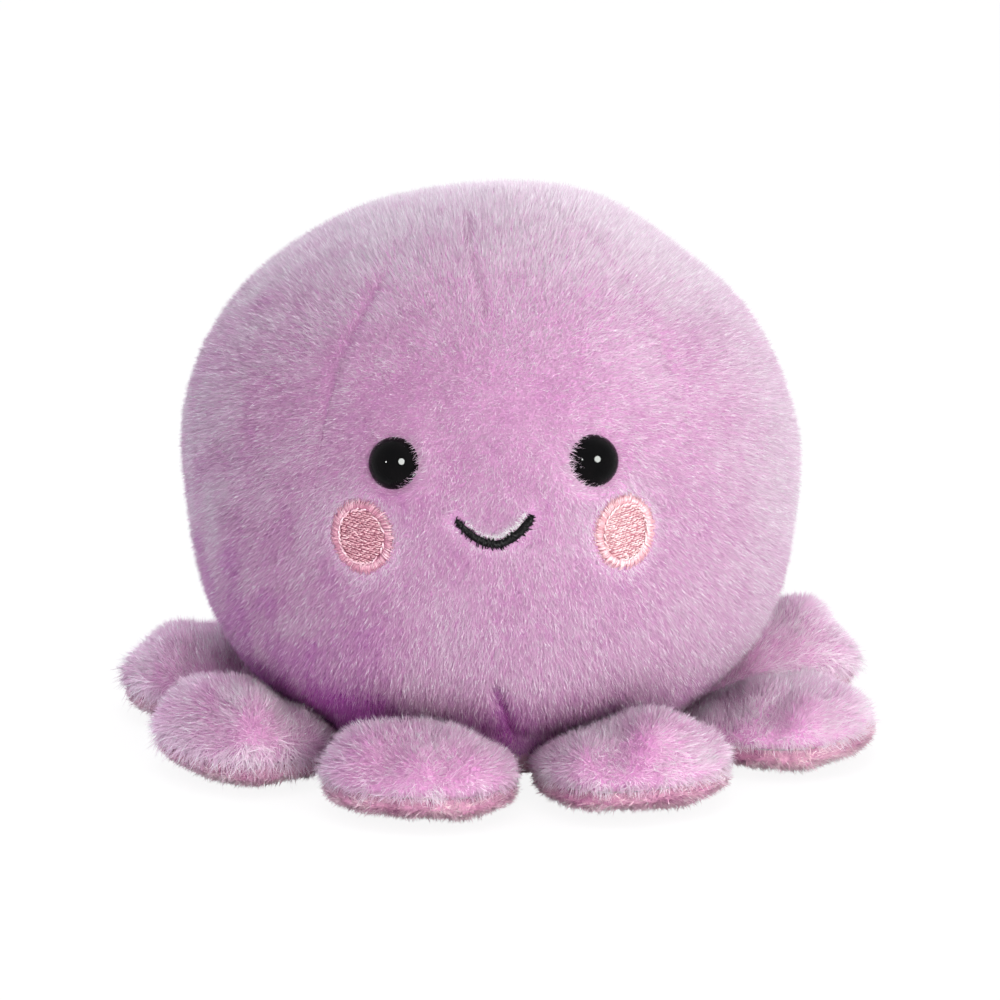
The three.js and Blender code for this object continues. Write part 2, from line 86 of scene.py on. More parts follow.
class Slot(Enum):
    """The record's material slots."""

    LILAC = "lilac_plush"
    PINK = "pink_plush"
    CHEEK = "cheek_thread"
    CHEEK_EDGE = "cheek_edge_thread"
    MOUTH = "mouth_thread"
    EYE = "eye_gloss"
    WASHER = "washer_plastic"
    STUFFING = "stuffing"
    BAG = "bag_cloth"
    PELLETS = "pellets"


def srgb(red: int, green: int, blue: int) -> Colour:
    """A colour as seen on a screen, made linear for the shaders.

    Args:
        red: Red from 0 to 255.
        green: Green from 0 to 255.
        blue: Blue from 0 to 255.

    Returns:
        The linear colour with full alpha.
    """
    shares = [value / 255 for value in (red, green, blue)]
    linear = [s / 12.92 if s <= 0.04045 else ((s + 0.055) / 1.055) ** 2.4 for s in shares]
    return (*linear, 1.0)


def unit(vectors: Array) -> Array:
    """Vectors at a length of one."""
    return vectors / np.maximum(np.linalg.norm(vectors, axis=-1, keepdims=True), LEAST_LENGTH)


def around(longitude: Array, radius: Array, height: Array) -> Array:
    """Points at longitudes that run from the front towards +X."""
    flat = np.broadcast_arrays(radius * np.sin(longitude), -radius * np.cos(longitude), height)
    return np.stack(flat, -1)


def eastward(longitude: Array) -> Array:
    """The level directions along which longitudes grow."""
    return np.stack([np.cos(longitude), np.sin(longitude), np.zeros_like(longitude)], -1)


def along_surface(vectors: Array, normals: Array) -> Array:
    """The directions of vectors along a surface with these normals."""
    return unit(vectors - (vectors * normals).sum(-1, keepdims=True) * normals)


def smooth_share(values: Array, low: float, high: float) -> Array:
    """A smooth rise from 0 at low to 1 at high."""
    share = np.clip((values - low) / (high - low), 0, 1)
    return share * share * (3 - 2 * share)


def from_middle(share: Array) -> Array:
    """How far shares lie from a half: 0 there, and 1 at both ends."""
    return 2 * np.abs(share - 0.5)


class SoftNoise:
    """A smooth field in space, from about -1 to 1, made of a few waves."""

    def __init__(self, wavelength: float, seed: int, waves: int = 14) -> None:
        """Draws the waves.

        Args:
            wavelength: The typical distance between two crests, in metres.
            seed: The seed of the random draws.
            waves: How many waves are added up.
        """
        rng = np.random.default_rng(seed)
        lengths = wavelength * rng.uniform(0.7, 1.5, (waves, 1))
        self.turns = unit(rng.normal(size=(waves, 3))) * (math.tau / lengths)
        self.phases = rng.uniform(0, math.tau, waves)

    def __call__(self, points: Array) -> Array:
        """The field's value at each point."""
        waves = np.sin(points @ self.turns.T + self.phases)
        return waves.sum(-1) * math.sqrt(0.7 / len(self.phases))


def grid_faces(rows: int, columns: int, closed_rows: bool = False, closed_columns: bool = False) -> Array:
    """The four-cornered faces of a grid of points, as numbers of its points.

    Args:
        rows: How many rows.
        columns: How many columns.
        closed_rows: Whether the last row meets the first.
        closed_columns: Whether the last column meets the first.

    Returns:
        The faces, anticlockwise for one who sees the columns run to the right and the rows up.
    """
    row = np.arange(rows if closed_rows else rows - 1)[:, None]
    column = np.arange(columns if closed_columns else columns - 1)[None, :]
    above, after = (row + 1) % rows, (column + 1) % columns
    here, over = row * columns, above * columns
    corners = (here + column, here + after, over + after, over + column)
    return np.stack(corners, -1).reshape(-1, 4)


def grid_normals(points: Array) -> Array:
    """The normals of a grid of points, also where one of its rows closes to a point.

    Args:
        points: The grid, rows by columns by three.

    Returns:
        A unit normal for each point, towards the side from which the faces run anticlockwise.
    """
    along = np.gradient(points, axis=0)
    across = np.gradient(points, axis=1)
    cross = np.cross(across, along)
    for edge, inner in ((0, 1), (-1, -2)):
        width = np.linalg.norm(points[edge, 0] - points[edge, -1])
        closed = width < ONE_POINT and np.ptp(points[edge], axis=0).max() < ONE_POINT
        if closed:
            cross[edge] = cross[inner].mean(0)
    return unit(cross)


def new_piece(name: str, points: Array, faces: list[Array], material: Material) -> Piece:
    """Makes a mesh object from plain arrays.

    Args:
        name: The piece's name.
        points: Its vertices, in metres.
        faces: Arrays of faces, each array with one number of corners.
        material: The material of all its faces.

    Returns:
        The new object, linked into the scene.
    """
    mesh = bpy.data.meshes.new(name)
    mesh.vertices.add(len(points))
    mesh.vertices.foreach_set("co", np.ascontiguousarray(points, np.float32).ravel())
    corners = np.concatenate([part.ravel() for part in faces])
    counts = np.concatenate([np.full(len(part), part.shape[1]) for part in faces])
    mesh.loops.add(len(corners))
    mesh.loops.foreach_set("vertex_index", corners.astype(np.int32))
    mesh.polygons.add(len(counts))
    starts = np.cumsum(counts) - counts
    mesh.polygons.foreach_set("loop_start", starts.astype(np.int32))
    mesh.polygons.foreach_set("use_smooth", np.ones(len(counts), bool))
    mesh.update(calc_edges=True)
    mesh.materials.append(material)
    piece = bpy.data.objects.new(name, mesh)
    bpy.context.scene.collection.objects.link(piece)
    return piece


def weld(piece: Piece, distance: float = 0.01 * MM) -> None:
    """Joins the points of a mesh that lie together, and drops what closes up.

    Args:
        piece: The mesh object.
        distance: How close together points are joined.
    """
    shape = bmesh.new()
    shape.from_mesh(piece.data)
    bmesh.ops.remove_doubles(shape, verts=shape.verts, dist=distance)
    bmesh.ops.dissolve_degenerate(shape, edges=shape.edges, dist=distance / 10)
    shape.to_mesh(piece.data)
    shape.free()


def revolved(profile: Array | list[Pair], sides: int) -> Solid:
    """A solid turned about Z.

    Args:
        profile: Radius and height of its outline, with the outside on the right of one who follows it.
        sides: How many sides it is made of.

    Returns:
        Its points and faces, with those on the axis not yet joined.
    """
    turns = np.arange(sides) * math.tau / sides
    line = np.asarray(profile, float)
    radius, height = line[:, :1], line[:, 1:]
    points = np.stack([radius * np.cos(turns), radius * np.sin(turns), height + 0 * turns], -1)
    return points.reshape(-1, 3), [grid_faces(len(line), sides, closed_columns=True)]


def stood(points: Array, spot: Array, normal: Array) -> Array:
    """Points built about +Z, moved to a spot and turned so that Z becomes its normal."""
    side = unit(np.cross(UP, normal))
    over = np.cross(normal, side)
    return spot + points[:, :1] * side + points[:, 1:2] * over + points[:, 2:] * normal


@dataclass(frozen=True)
class Threads:
    """The middle lines of many threads, a direction across each of them, and their radii."""

    points: Array
    hints: Array
    radii: Array
    palest: float = 0.8
    deepest: float = 0.45

    def tubes(self, sides: int = 6) -> Solid:
        """Makes round, closed tubes along the lines.

        Args:
            sides: How many sides each tube has.

        Returns:
            The points and faces of all of them.
        """
        count, steps = self.radii.shape
        heading = unit(np.gradient(self.points, axis=1))
        across = unit(np.cross(heading, self.hints))
        over = np.cross(across, heading)
        bends = (np.arange(sides) * math.tau / sides)[:, None]
        ring = across[:, :, None] * np.cos(bends) + over[:, :, None] * np.sin(bends)
        points = self.points[:, :, None] + ring * self.radii[..., None, None]
        first = (np.arange(count)[:, None, None] * steps + np.arange(steps - 1)[:, None]) * sides
        here, there = first + np.arange(sides), first + (np.arange(sides) + 1) % sides
        walls = np.stack([here, here + sides, there + sides, there], -1).reshape(-1, 4)
        start = np.arange(count)[:, None] * steps * sides + np.arange(sides)
        return points.reshape(-1, 3), [walls, start, start[:, ::-1] + (steps - 1) * sides]


def thread_piece(name: str, parts: list[Threads | Solid], finish: "ThreadFinish",
                 rng: np.random.Generator) -> Piece:
    """Makes one piece of beds and threads.

    Args:
        name: The piece's name.
        parts: Threads, and plain (points, faces) for what lies under them.
        finish: The thread's finish.
        rng: The source of each thread's own tone.

    Returns:
        The new object, with a tone for each thread and the deepest for the beds, painted shade in the gaps
        between threads.
    """
    points, faces, tones, total = [], [], [], 0
    for part in parts:
        is_thread = isinstance(part, Threads)
        made, sides = part.tubes() if is_thread else part
        # Beds keep tone 0, the thread's deep colour: painted shade in the gaps.
        tone = np.zeros(len(made))
        if is_thread:
            count = len(part.radii)
            tone = np.repeat(rng.uniform(part.deepest, part.palest, count), len(made) // count)
        points.append(made)
        faces.extend(side + total for side in sides)
        tones.append(tone)
        total += len(made)
    piece = new_piece(name, np.concatenate(points), faces, finish.material())
    marks = np.repeat(np.concatenate(tones)[:, None], 4, 1)
    colours = piece.data.color_attributes.new(name="thread", type="FLOAT_COLOR", domain="POINT")
    colours.data.foreach_set("color", marks.astype(np.float32).ravel())
    return piece


def place(piece: Piece, body: str, slot: Slot, *nodes: str) -> Piece:
    """Puts a piece on its body and hides the solids that it stands for.

    Args:
        piece: The piece.
        body: The body that carries it.
        slot: Its material slot. Not used.
        *nodes: The solids that it stands for.

    Returns:
        The piece.
    """
    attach(piece, body)
    if nodes:
        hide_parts(*nodes)
    log.info("%s rides on %s: %d faces", piece.name, body, len(piece.data.polygons))
    return piece


class Shader:
    """One material's nodes, ending in a principled shader."""

    def __init__(self, name: str, **constants: float | Colour) -> None:
        """Makes the material.

        Args:
            name: The material's name.
            **constants: Values of the shader's own sockets, with _ for the spaces in their names.
        """
        self.material = bpy.data.materials.new(name)
        self.material.use_nodes = True
        self.tree = self.material.node_tree
        self.tree.nodes.clear()
        self.surface = self.tree.nodes.new("ShaderNodeBsdfPrincipled")
        output = self.tree.nodes.new("ShaderNodeOutputMaterial")
        self.tree.links.new(self.surface.outputs["BSDF"], output.inputs["Surface"])
        for socket, value in constants.items():
            self.surface.inputs[socket.replace("_", " ")].default_value = value

    def node(self, kind: str, inputs: dict[str | int, object] | None = None,
             **settings: str) -> bpy.types.Node:
        """Adds a node.

        Args:
            kind: The node's type, without ShaderNode in front.
            inputs: Values or other nodes' outputs for its inputs, by name or number.
            **settings: The node's own settings.

        Returns:
            The new node.
        """
        made = self.tree.nodes.new("ShaderNode" + kind)
        for key, value in settings.items():
            setattr(made, key, value)
        for key, value in (inputs or {}).items():
            if isinstance(value, Socket):
                self.tree.links.new(value, made.inputs[key])
            else:
                made.inputs[key].default_value = value
        return made

    def mix(self, share: float | Socket, first: Colour | Socket, second: Colour | Socket) -> Socket:
        """Mixes two colours.

        Args:
            share: How much of the second colour, a number or an output.
            first: The first colour or output.
            second: The second colour or output.

        Returns:
            The mixed colour's output.
        """
        made = self.tree.nodes.new("ShaderNodeMix")
        made.data_type = "RGBA"
        for number, value in ((0, share), (6, first), (7, second)):
            if isinstance(value, Socket):
                self.tree.links.new(value, made.inputs[number])
            else:
                made.inputs[number].default_value = value
        return made.outputs[2]

    def spread(self, value: Socket, low: float, high: float, to_low: float, to_high: float) -> Socket:
        """A value's range from low to high, carried over to another range."""
        made = self.node("MapRange", {0: value, 1: low, 2: high, 3: to_low, 4: to_high})
        return made.outputs[0]

    def product(self, first: Socket, second: Socket) -> Socket:
        """One value times another."""
        return self.node("Math", {0: first, 1: second}, operation="MULTIPLY").outputs[0]

    def noise(self, scale: float, detail: float = 2.0) -> Socket:
        """Noise in the piece's own space."""
        place_of = self.node("TexCoord").outputs["Object"]
        made = self.node("TexNoise", {"Vector": place_of, "Scale": scale, "Detail": detail})
        return made.outputs["Fac"]

    def ramp(self, value: Socket, stops: list[tuple[float, Colour]]) -> Socket:
        """Makes a colour that runs through stops as a value goes from 0 to 1.

        Args:
            value: The output that drives it.
            stops: Places from 0 to 1 with their colours.

        Returns:
            The colour's output.
        """
        made = self.node("ValToRGB", {0: value})
        band = made.color_ramp
        while len(band.elements) < len(stops):
            band.elements.new(0.5)
        for element, (position, colour) in zip(band.elements, stops):
            element.position = position
            element.color = colour
        return made.outputs["Color"]

    def bump(self, height: Socket, distance: float, strength: float = 1.0) -> None:
        """Roughens the surface by a height."""
        made = self.node("Bump", {"Height": height, "Distance": distance, "Strength": strength})
        self.tree.links.new(made.outputs["Normal"], self.surface.inputs["Normal"])

    def colour(self, value: Socket) -> None:
        """Drives the base colour."""
        self.tree.links.new(value, self.surface.inputs["Base Color"])

    def roughness(self, value: Socket) -> None:
        """Drives the roughness."""
        self.tree.links.new(value, self.surface.inputs["Roughness"])


@dataclass(frozen=True)
class PlushFinish:
    """The colours of a plush from its cloth to the tips of its pile, where it is plain, pale or deep: pale
    tones for random patches and painted light, deep ones for painted shade.
    """

    name: str
    root: Colour
    middle: Colour
    tip: Colour
    pale_and_lit_root: Colour
    pale_and_lit_tip: Colour
    painted_shade_root: Colour
    painted_shade_tip: Colour
    painted_glint: Colour
    painted_glint_share: float = 0.1
    light_spread: float = 0.14
    patch_scale: float = 160.0
    knit_scale: float = 2600.0
    knit_relief: float = 0.25 * MM

    def pile(self) -> Material:
        """Makes the pile's material.

        Returns:
            A material that reads how far along a strand a point is, the strand's tone and how pale or deep it
            is painted, with painted light and shade in that paleness.
        """
        shader = Shader(self.name + "_pile", Roughness=0.55, Sheen_Weight=0.03, Sheen_Roughness=0.4,
                        Specular_IOR_Level=0.08)
        strand = shader.node("Attribute", attribute_name="pile").outputs["Color"]
        parts = shader.node("SeparateColor", {0: strand}).outputs
        reach, tone = parts[0], parts[1]
        # Above a half the third channel gives pale patches and painted light, below it painted shade.
        pale, deep = shader.spread(parts[2], 0.5, 1, 0, 1), shader.spread(parts[2], 0.5, 0, 0, 1)
        plain = shader.ramp(reach, [(0.0, self.root), (0.55, self.middle), (1.0, self.tip)])
        light = shader.ramp(reach, [(0.0, self.pale_and_lit_root), (1.0, self.pale_and_lit_tip)])
        painted_shade_colour = shader.ramp(reach, [(0.0, self.painted_shade_root), (1.0, self.painted_shade_tip)])
        value = shader.spread(tone, 0, 1, 1 - self.light_spread, 1 + self.light_spread)
        shade = shader.mix(deep, shader.mix(pale, plain, light), painted_shade_colour)
        toned = shader.node("HueSaturation", {"Color": shade, "Value": value})
        # Painted glint: a few thick strands turn near white towards their tips, less so in painted shade.
        glint_strands = shader.spread(tone, 1 - self.painted_glint_share, 1 - 0.7 * self.painted_glint_share, 0, 1)
        outer = shader.product(shader.spread(reach, 0.5, 0.62, 0, 1), shader.spread(deep, 0, 0.6, 1, 0.2))
        bright = shader.product(glint_strands, outer)
        shader.colour(shader.mix(bright, toned.outputs["Color"], self.painted_glint))
        return shader.material

    def cloth(self) -> Material:
        """Makes the cloth under the pile: a close knit, deeper in colour than the tips.

        Returns:
            The cloth's material.
        """
        shader = Shader(self.name + "_cloth", Roughness=0.9, Sheen_Weight=0.03, Sheen_Roughness=0.5,
                        Specular_IOR_Level=0.08)
        patches = shader.noise(self.patch_scale)
        knit = shader.noise(self.knit_scale, 4.0)
        base = shader.mix(shader.spread(patches, 0.3, 0.7, 0, 1), self.root, self.middle)
        shader.colour(shader.mix(shader.spread(knit, 0.35, 0.65, 0, 0.5), base, self.root))
        shader.bump(knit, self.knit_relief)
        return shader.material


@dataclass(frozen=True)
class ThreadFinish:
    """Shiny embroidery thread."""

    name: str
    deep: Colour
    bright: Colour
    crest: Colour
    twist_scale: float = 5200.0
    sheen: float = 0.2
    specular: float = 0.45
    relief: float = 0.05 * MM

    def material(self) -> Material:
        """Makes the thread's material.

        Returns:
            A material with the thread's twist and its changes of shade.
        """
        shader = Shader(self.name, Roughness=0.42, Sheen_Weight=self.sheen, Sheen_Roughness=0.3,
                        Specular_IOR_Level=self.specular)
        strand = shader.node("Attribute", attribute_name="thread").outputs["Color"]
        tone = shader.node("SeparateColor", {0: strand}).outputs[0]
        fine = shader.noise(self.twist_scale, 3.0)
        base = shader.ramp(tone, [(0.0, self.deep), (0.75, self.bright), (1.0, self.crest)])
        shader.colour(shader.mix(shader.spread(fine, 0.35, 0.65, 0, 0.4), base, self.deep))
        shader.roughness(shader.spread(fine, 0.3, 0.7, 0.36, 0.52))
        shader.bump(fine, self.relief)
        return shader.material


@dataclass(frozen=True)
class MouldedFinish:
    """A moulded or spun piece: glossy eyes, washers, pellets, filling and bag."""

    name: str
    deep: Colour
    bright: Colour
    low_roughness: float
    high_roughness: float
    scale: float = 400.0
    relief: float = 0.01 * MM
    specular: float = 0.5

    def material(self) -> Material:
        """Makes the material.

        Returns:
            A material with a little unevenness in its shade and shine.
        """
        shader = Shader(self.name, Specular_IOR_Level=self.specular)
        uneven = shader.noise(self.scale, 4.0)
        shader.colour(shader.mix(shader.spread(uneven, 0.3, 0.7, 0, 1), self.deep, self.bright))
        shader.roughness(shader.spread(uneven, 0.3, 0.7, self.low_roughness, self.high_roughness))
        shader.bump(uneven, self.relief)
        return shader.material


LILAC = PlushFinish(
    "lilac",
    root=srgb(207, 148, 195),
    middle=srgb(221, 174, 210),
    tip=srgb(235, 203, 225),
    pale_and_lit_root=srgb(230, 202, 224),
    pale_and_lit_tip=srgb(246, 236, 243),
    painted_shade_root=srgb(164, 62, 164),
    painted_shade_tip=srgb(214, 118, 206),
    painted_glint=srgb(255, 252, 255),
)
# A paler, more saturated copy of the lilac for the arms: painted light, for arms that the head keeps in
# shade.
LIT_ARM_LILAC = replace(
    LILAC,
    name="arm_lilac_painted_light",
    root=srgb(214, 147, 199),
    middle=srgb(231, 176, 215),
    tip=srgb(243, 203, 231),
    pale_and_lit_root=srgb(239, 208, 230),
    pale_and_lit_tip=srgb(250, 236, 245),
    painted_shade_root=srgb(178, 80, 176),
    painted_shade_tip=srgb(222, 138, 212),
)
PINK = PlushFinish(
    "pink",
    root=srgb(198, 132, 168),
    middle=srgb(222, 170, 194),
    tip=srgb(243, 208, 220),
    pale_and_lit_root=srgb(240, 200, 212),
    pale_and_lit_tip=srgb(254, 232, 238),
    painted_shade_root=srgb(150, 76, 124),
    painted_shade_tip=srgb(196, 126, 166),
    painted_glint=srgb(255, 244, 246),
)


@dataclass
class Groom:
    """What a pile is told at places on the skin.

    Attributes:
        growth: The share of its full length.
        pale: How much paler it is painted than round about, from 0 to 1: a painted highlight round the cheeks
            and the smile.
        lay: How much further over it leans, in radians.
        pull: Where else it is combed, as vectors added to its flow.
        east: The directions sideways along the skin.
    """

    growth: Array
    pale: Array
    lay: Array
    pull: Array
    east: Array

    def comb(self, strength: Array, sideways: Array, upwards: Array) -> None:
        """Combs the pile away from a spot, or towards it where the strength is below 0.

        Args:
            strength: How strongly.
            sideways: How far sideways from the spot each place lies.
            upwards: How far upwards from it.
        """
        length = np.maximum(np.hypot(sideways, upwards), 0.01 * MM)
        step = sideways[..., None] * self.east + upwards[..., None] * UP
        self.pull += (strength / length)[..., None] * step


@dataclass
class SkinGrid:
    """A patch of skin as a grid of points, with what its pile needs at each of them."""

    points: Array
    flow: Array
    growth: Array
    pale: Array
    lay: Array
    normals: Array = field(init=False)

    def __post_init__(self) -> None:
        """Works out the normals and lays the flow along the surface."""
        self.normals = grid_normals(self.points)
        self.flow = along_surface(self.flow, self.normals)


def grid_piece(name: str, grid: SkinGrid, material: Material, thickness: float) -> Piece:
    """Makes the cloth of a patch of skin, of one thickness inwards.

    Args:
        name: The piece's name.
        grid: The patch of skin.
        material: The cloth's material.
        thickness: How thick the cloth is.

    Returns:
        The cloth.
    """
    rows, columns = grid.growth.shape
    faces = grid_faces(rows, columns)
    piece = new_piece(name, grid.points.reshape(-1, 3), [faces], material)
    layer = piece.data.uv_layers.new(name=BAKE_MAP)
    places = np.stack([faces % columns / (columns - 1), faces // columns / (rows - 1)], -1)
    layer.data.foreach_set("uv", places.astype(np.float32).ravel())
    weld(piece)
    solid = piece.modifiers.new("thickness", "SOLIDIFY")
    solid.thickness, solid.offset = thickness, -1
    return piece


@dataclass(frozen=True)
class Pile:
    """How a pile grows: the size of its strands, how close they stand and how they lean.

    Attributes:
        sway: How far single strands turn aside, in radians.
        swirl: How far strands that stand together turn aside, in radians.
        mottle: How much the pile's paleness changes over mottle_size.
        thin_share: The share of thin strands. The rest are thicker and may carry a painted glint.
        radius_shares: The least radius, its spread and what the thick strands add, as shares of the width.
        bare_below: The growth below which no strand stands.
    """

    length: float
    width: float
    per_square_mm: float
    lean: float
    lean_spread: float = math.radians(8)
    sway: float = 0.85
    swirl: float = 0.35
    swirl_size: float = 7 * MM
    length_spread: float = 0.2
    sink: float = 0.25 * MM
    normal_spread: float = 0.16
    mottle: float = 0.28
    mottle_size: float = 1.7 * MM
    thin_share: float = 0.91
    radius_shares: tuple[float, float, float] = (0.44, 0.29, 0.3)
    bare_below: float = 0.12
    tuft_share: float = 0.6
    steepest: float = 0.05
    flattest: float = math.radians(86)
    floor_spread: float = 0.1 * MM

    def grow(self, name: str, grid: SkinGrid, material: Material, seed: int,
             floor: float | None = None) -> Piece:
        """Grows the pile as thin three-sided strands.

        Args:
            name: The piece's name.
            grid: The skin it grows on.
            material: Its material.
            seed: The seed of the random draws.
            floor: The lowest height that a strand may reach, if something presses it flat there.

        Returns:
            The pile as one mesh object.
        """
        rng = np.random.default_rng(seed)
        triangles = grid_faces(*grid.growth.shape)[:, [[0, 1, 2], [0, 2, 3]]].reshape(-1, 3)
        corners = grid.points.reshape(-1, 3)[triangles]
        edges = np.cross(corners[:, 1] - corners[:, 0], corners[:, 2] - corners[:, 0])
        total = np.cumsum(np.linalg.norm(edges, axis=-1) / 2)
        count = int(total[-1] * self.per_square_mm / MM**2)
        spots = (np.arange(count) + rng.random(count)) * (total[-1] / count)
        chosen = triangles[np.minimum(np.searchsorted(total, spots), len(triangles) - 1)]
        far, side = np.sqrt(rng.random(count)), rng.random(count)
        shares = np.stack([1 - far, far * (1 - side), far * side], -1)

        def at(values: Array) -> Array:
            """A field of the grid at each strand's root."""
            flat = values.reshape(-1, values.shape[-1] if values.ndim == 3 else 1)
            return (flat[chosen] * shares[..., None]).sum(1)

        growth = at(grid.growth)[:, 0]
        grows = growth > self.bare_below
        point, normal, flow = (at(values)[grows] for values in (grid.points, grid.normals, grid.flow))
        pale, lay, growth = at(grid.pale)[grows, 0], at(grid.lay)[grows, 0], growth[grows]
        count = len(point)
        normal = unit(normal)
        turn = self.swirl * SoftNoise(self.swirl_size, seed + 1)(point) + self.sway * rng.normal(size=count)
        flow = along_surface(flow, normal)
        flow = flow * np.cos(turn)[:, None] + np.cross(normal, flow) * np.sin(turn)[:, None]
        tuft = SoftNoise(self.swirl_size * self.tuft_share, seed + 2)(point)
        lean = self.lean + lay + self.lean_spread * (0.5 * tuft + rng.normal(size=count))
        lean = np.clip(lean, self.steepest, self.flattest)[:, None]
        heading = normal * np.cos(lean) + flow * np.sin(lean)
        fine = SoftNoise(self.mottle_size, seed + 3)(point)
        pale = pale + self.mottle * (fine - 0.3)
        spread = np.clip(rng.normal(size=count), -2, 2) * self.length_spread
        reach = self.length * growth * (1 + spread + 0.12 * fine)
        root = point - normal * self.sink
        tip = root + heading * (reach + self.sink)[:, None]
        first = unit(np.cross(heading, flow + 0.3 * rng.normal(size=(count, 3))))
        second = np.cross(heading, first)
        tone = rng.random(count)
        least, spread, thick = self.radius_shares
        radius = self.width * (least + spread * rng.random(count) + thick * (tone > self.thin_share))[:, None]
        start = rng.uniform(0, math.tau, count)
        strands, normals = np.empty((2, count, 4, 3))
        jitter = self.normal_spread * rng.normal(size=(count, 3))
        for k in range(3):
            bend = (start + k * math.tau / 3)[:, None]
            out = first * np.cos(bend) + second * np.sin(bend)
            strands[:, k] = root + out * radius
            normals[:, k] = normal + 0.45 * out + jitter
        strands[:, 3] = tip
        normals[:, 3] = normal + 0.25 * heading + jitter
        if floor is not None:
            lowest = floor + self.floor_spread * rng.random((count, 4))
            strands[..., 2] = np.maximum(strands[..., 2], lowest)
        faces = np.arange(count)[:, None, None] * 4 + np.array([[0, 1, 3], [1, 2, 3], [2, 0, 3]])
        piece = new_piece(name, strands.reshape(-1, 3), [faces.reshape(-1, 3)], material)
        piece.data.normals_split_custom_set_from_vertices(unit(normals).reshape(-1, 3).tolist())
        marks = np.ones((count, 4, 4), np.float32)
        marks[..., 0] = [0, 0, 0, 1]
        marks[..., 1] = tone[:, None]
        # How pale or deep the strand is painted: random paleness, painted light and painted shade.
        marks[..., 2] = 0.5 + 0.5 * np.clip(pale, -1, 1)[:, None]
        colours = piece.data.color_attributes.new(name="pile", type="FLOAT_COLOR", domain="POINT")
        colours.data.foreach_set("color", marks.ravel())
        self._own_cells(piece, count)
        return piece

    @staticmethod
    def _own_cells(piece: Piece, count: int) -> None:
        """Gives each strand a small cell of its own in the map that textures are baked to.

        Args:
            piece: The pile.
            count: How many strands it has.
        """
        side = math.ceil(math.sqrt(count))
        cell = np.stack([np.arange(count) % side, np.arange(count) // side], -1)[:, None, :]
        low, middle, high, top = (0.2, 0.2), (0.5, 0.2), (0.8, 0.2), (0.5, 0.8)
        corners = np.array([low, middle, top, middle, high, top, high, low, top])
        places = (cell + corners[None]) / side
        layer = piece.data.uv_layers.new(name=BAKE_MAP)
        layer.data.foreach_set("uv", places.astype(np.float32).ravel())


@dataclass(frozen=True)
class Crease:
    """A line along which the head's skin is drawn in, by longitude in degrees and height. Its shade says how
    much darker the pile is painted along it: painted shade.
    """

    line: tuple[Pair, ...]
    depth: float
    width: float
    shade: float = 0.75


@dataclass(frozen=True)
class Swell:
    """A place where the head's stuffing pushes the skin out, or lacks and lets it in."""

    longitude: float
    height: float
    turn: float
    rise: float
    lift: float


@dataclass(frozen=True)
class FaceSpot:
    """A place on the face."""

    longitude: float
    height: float


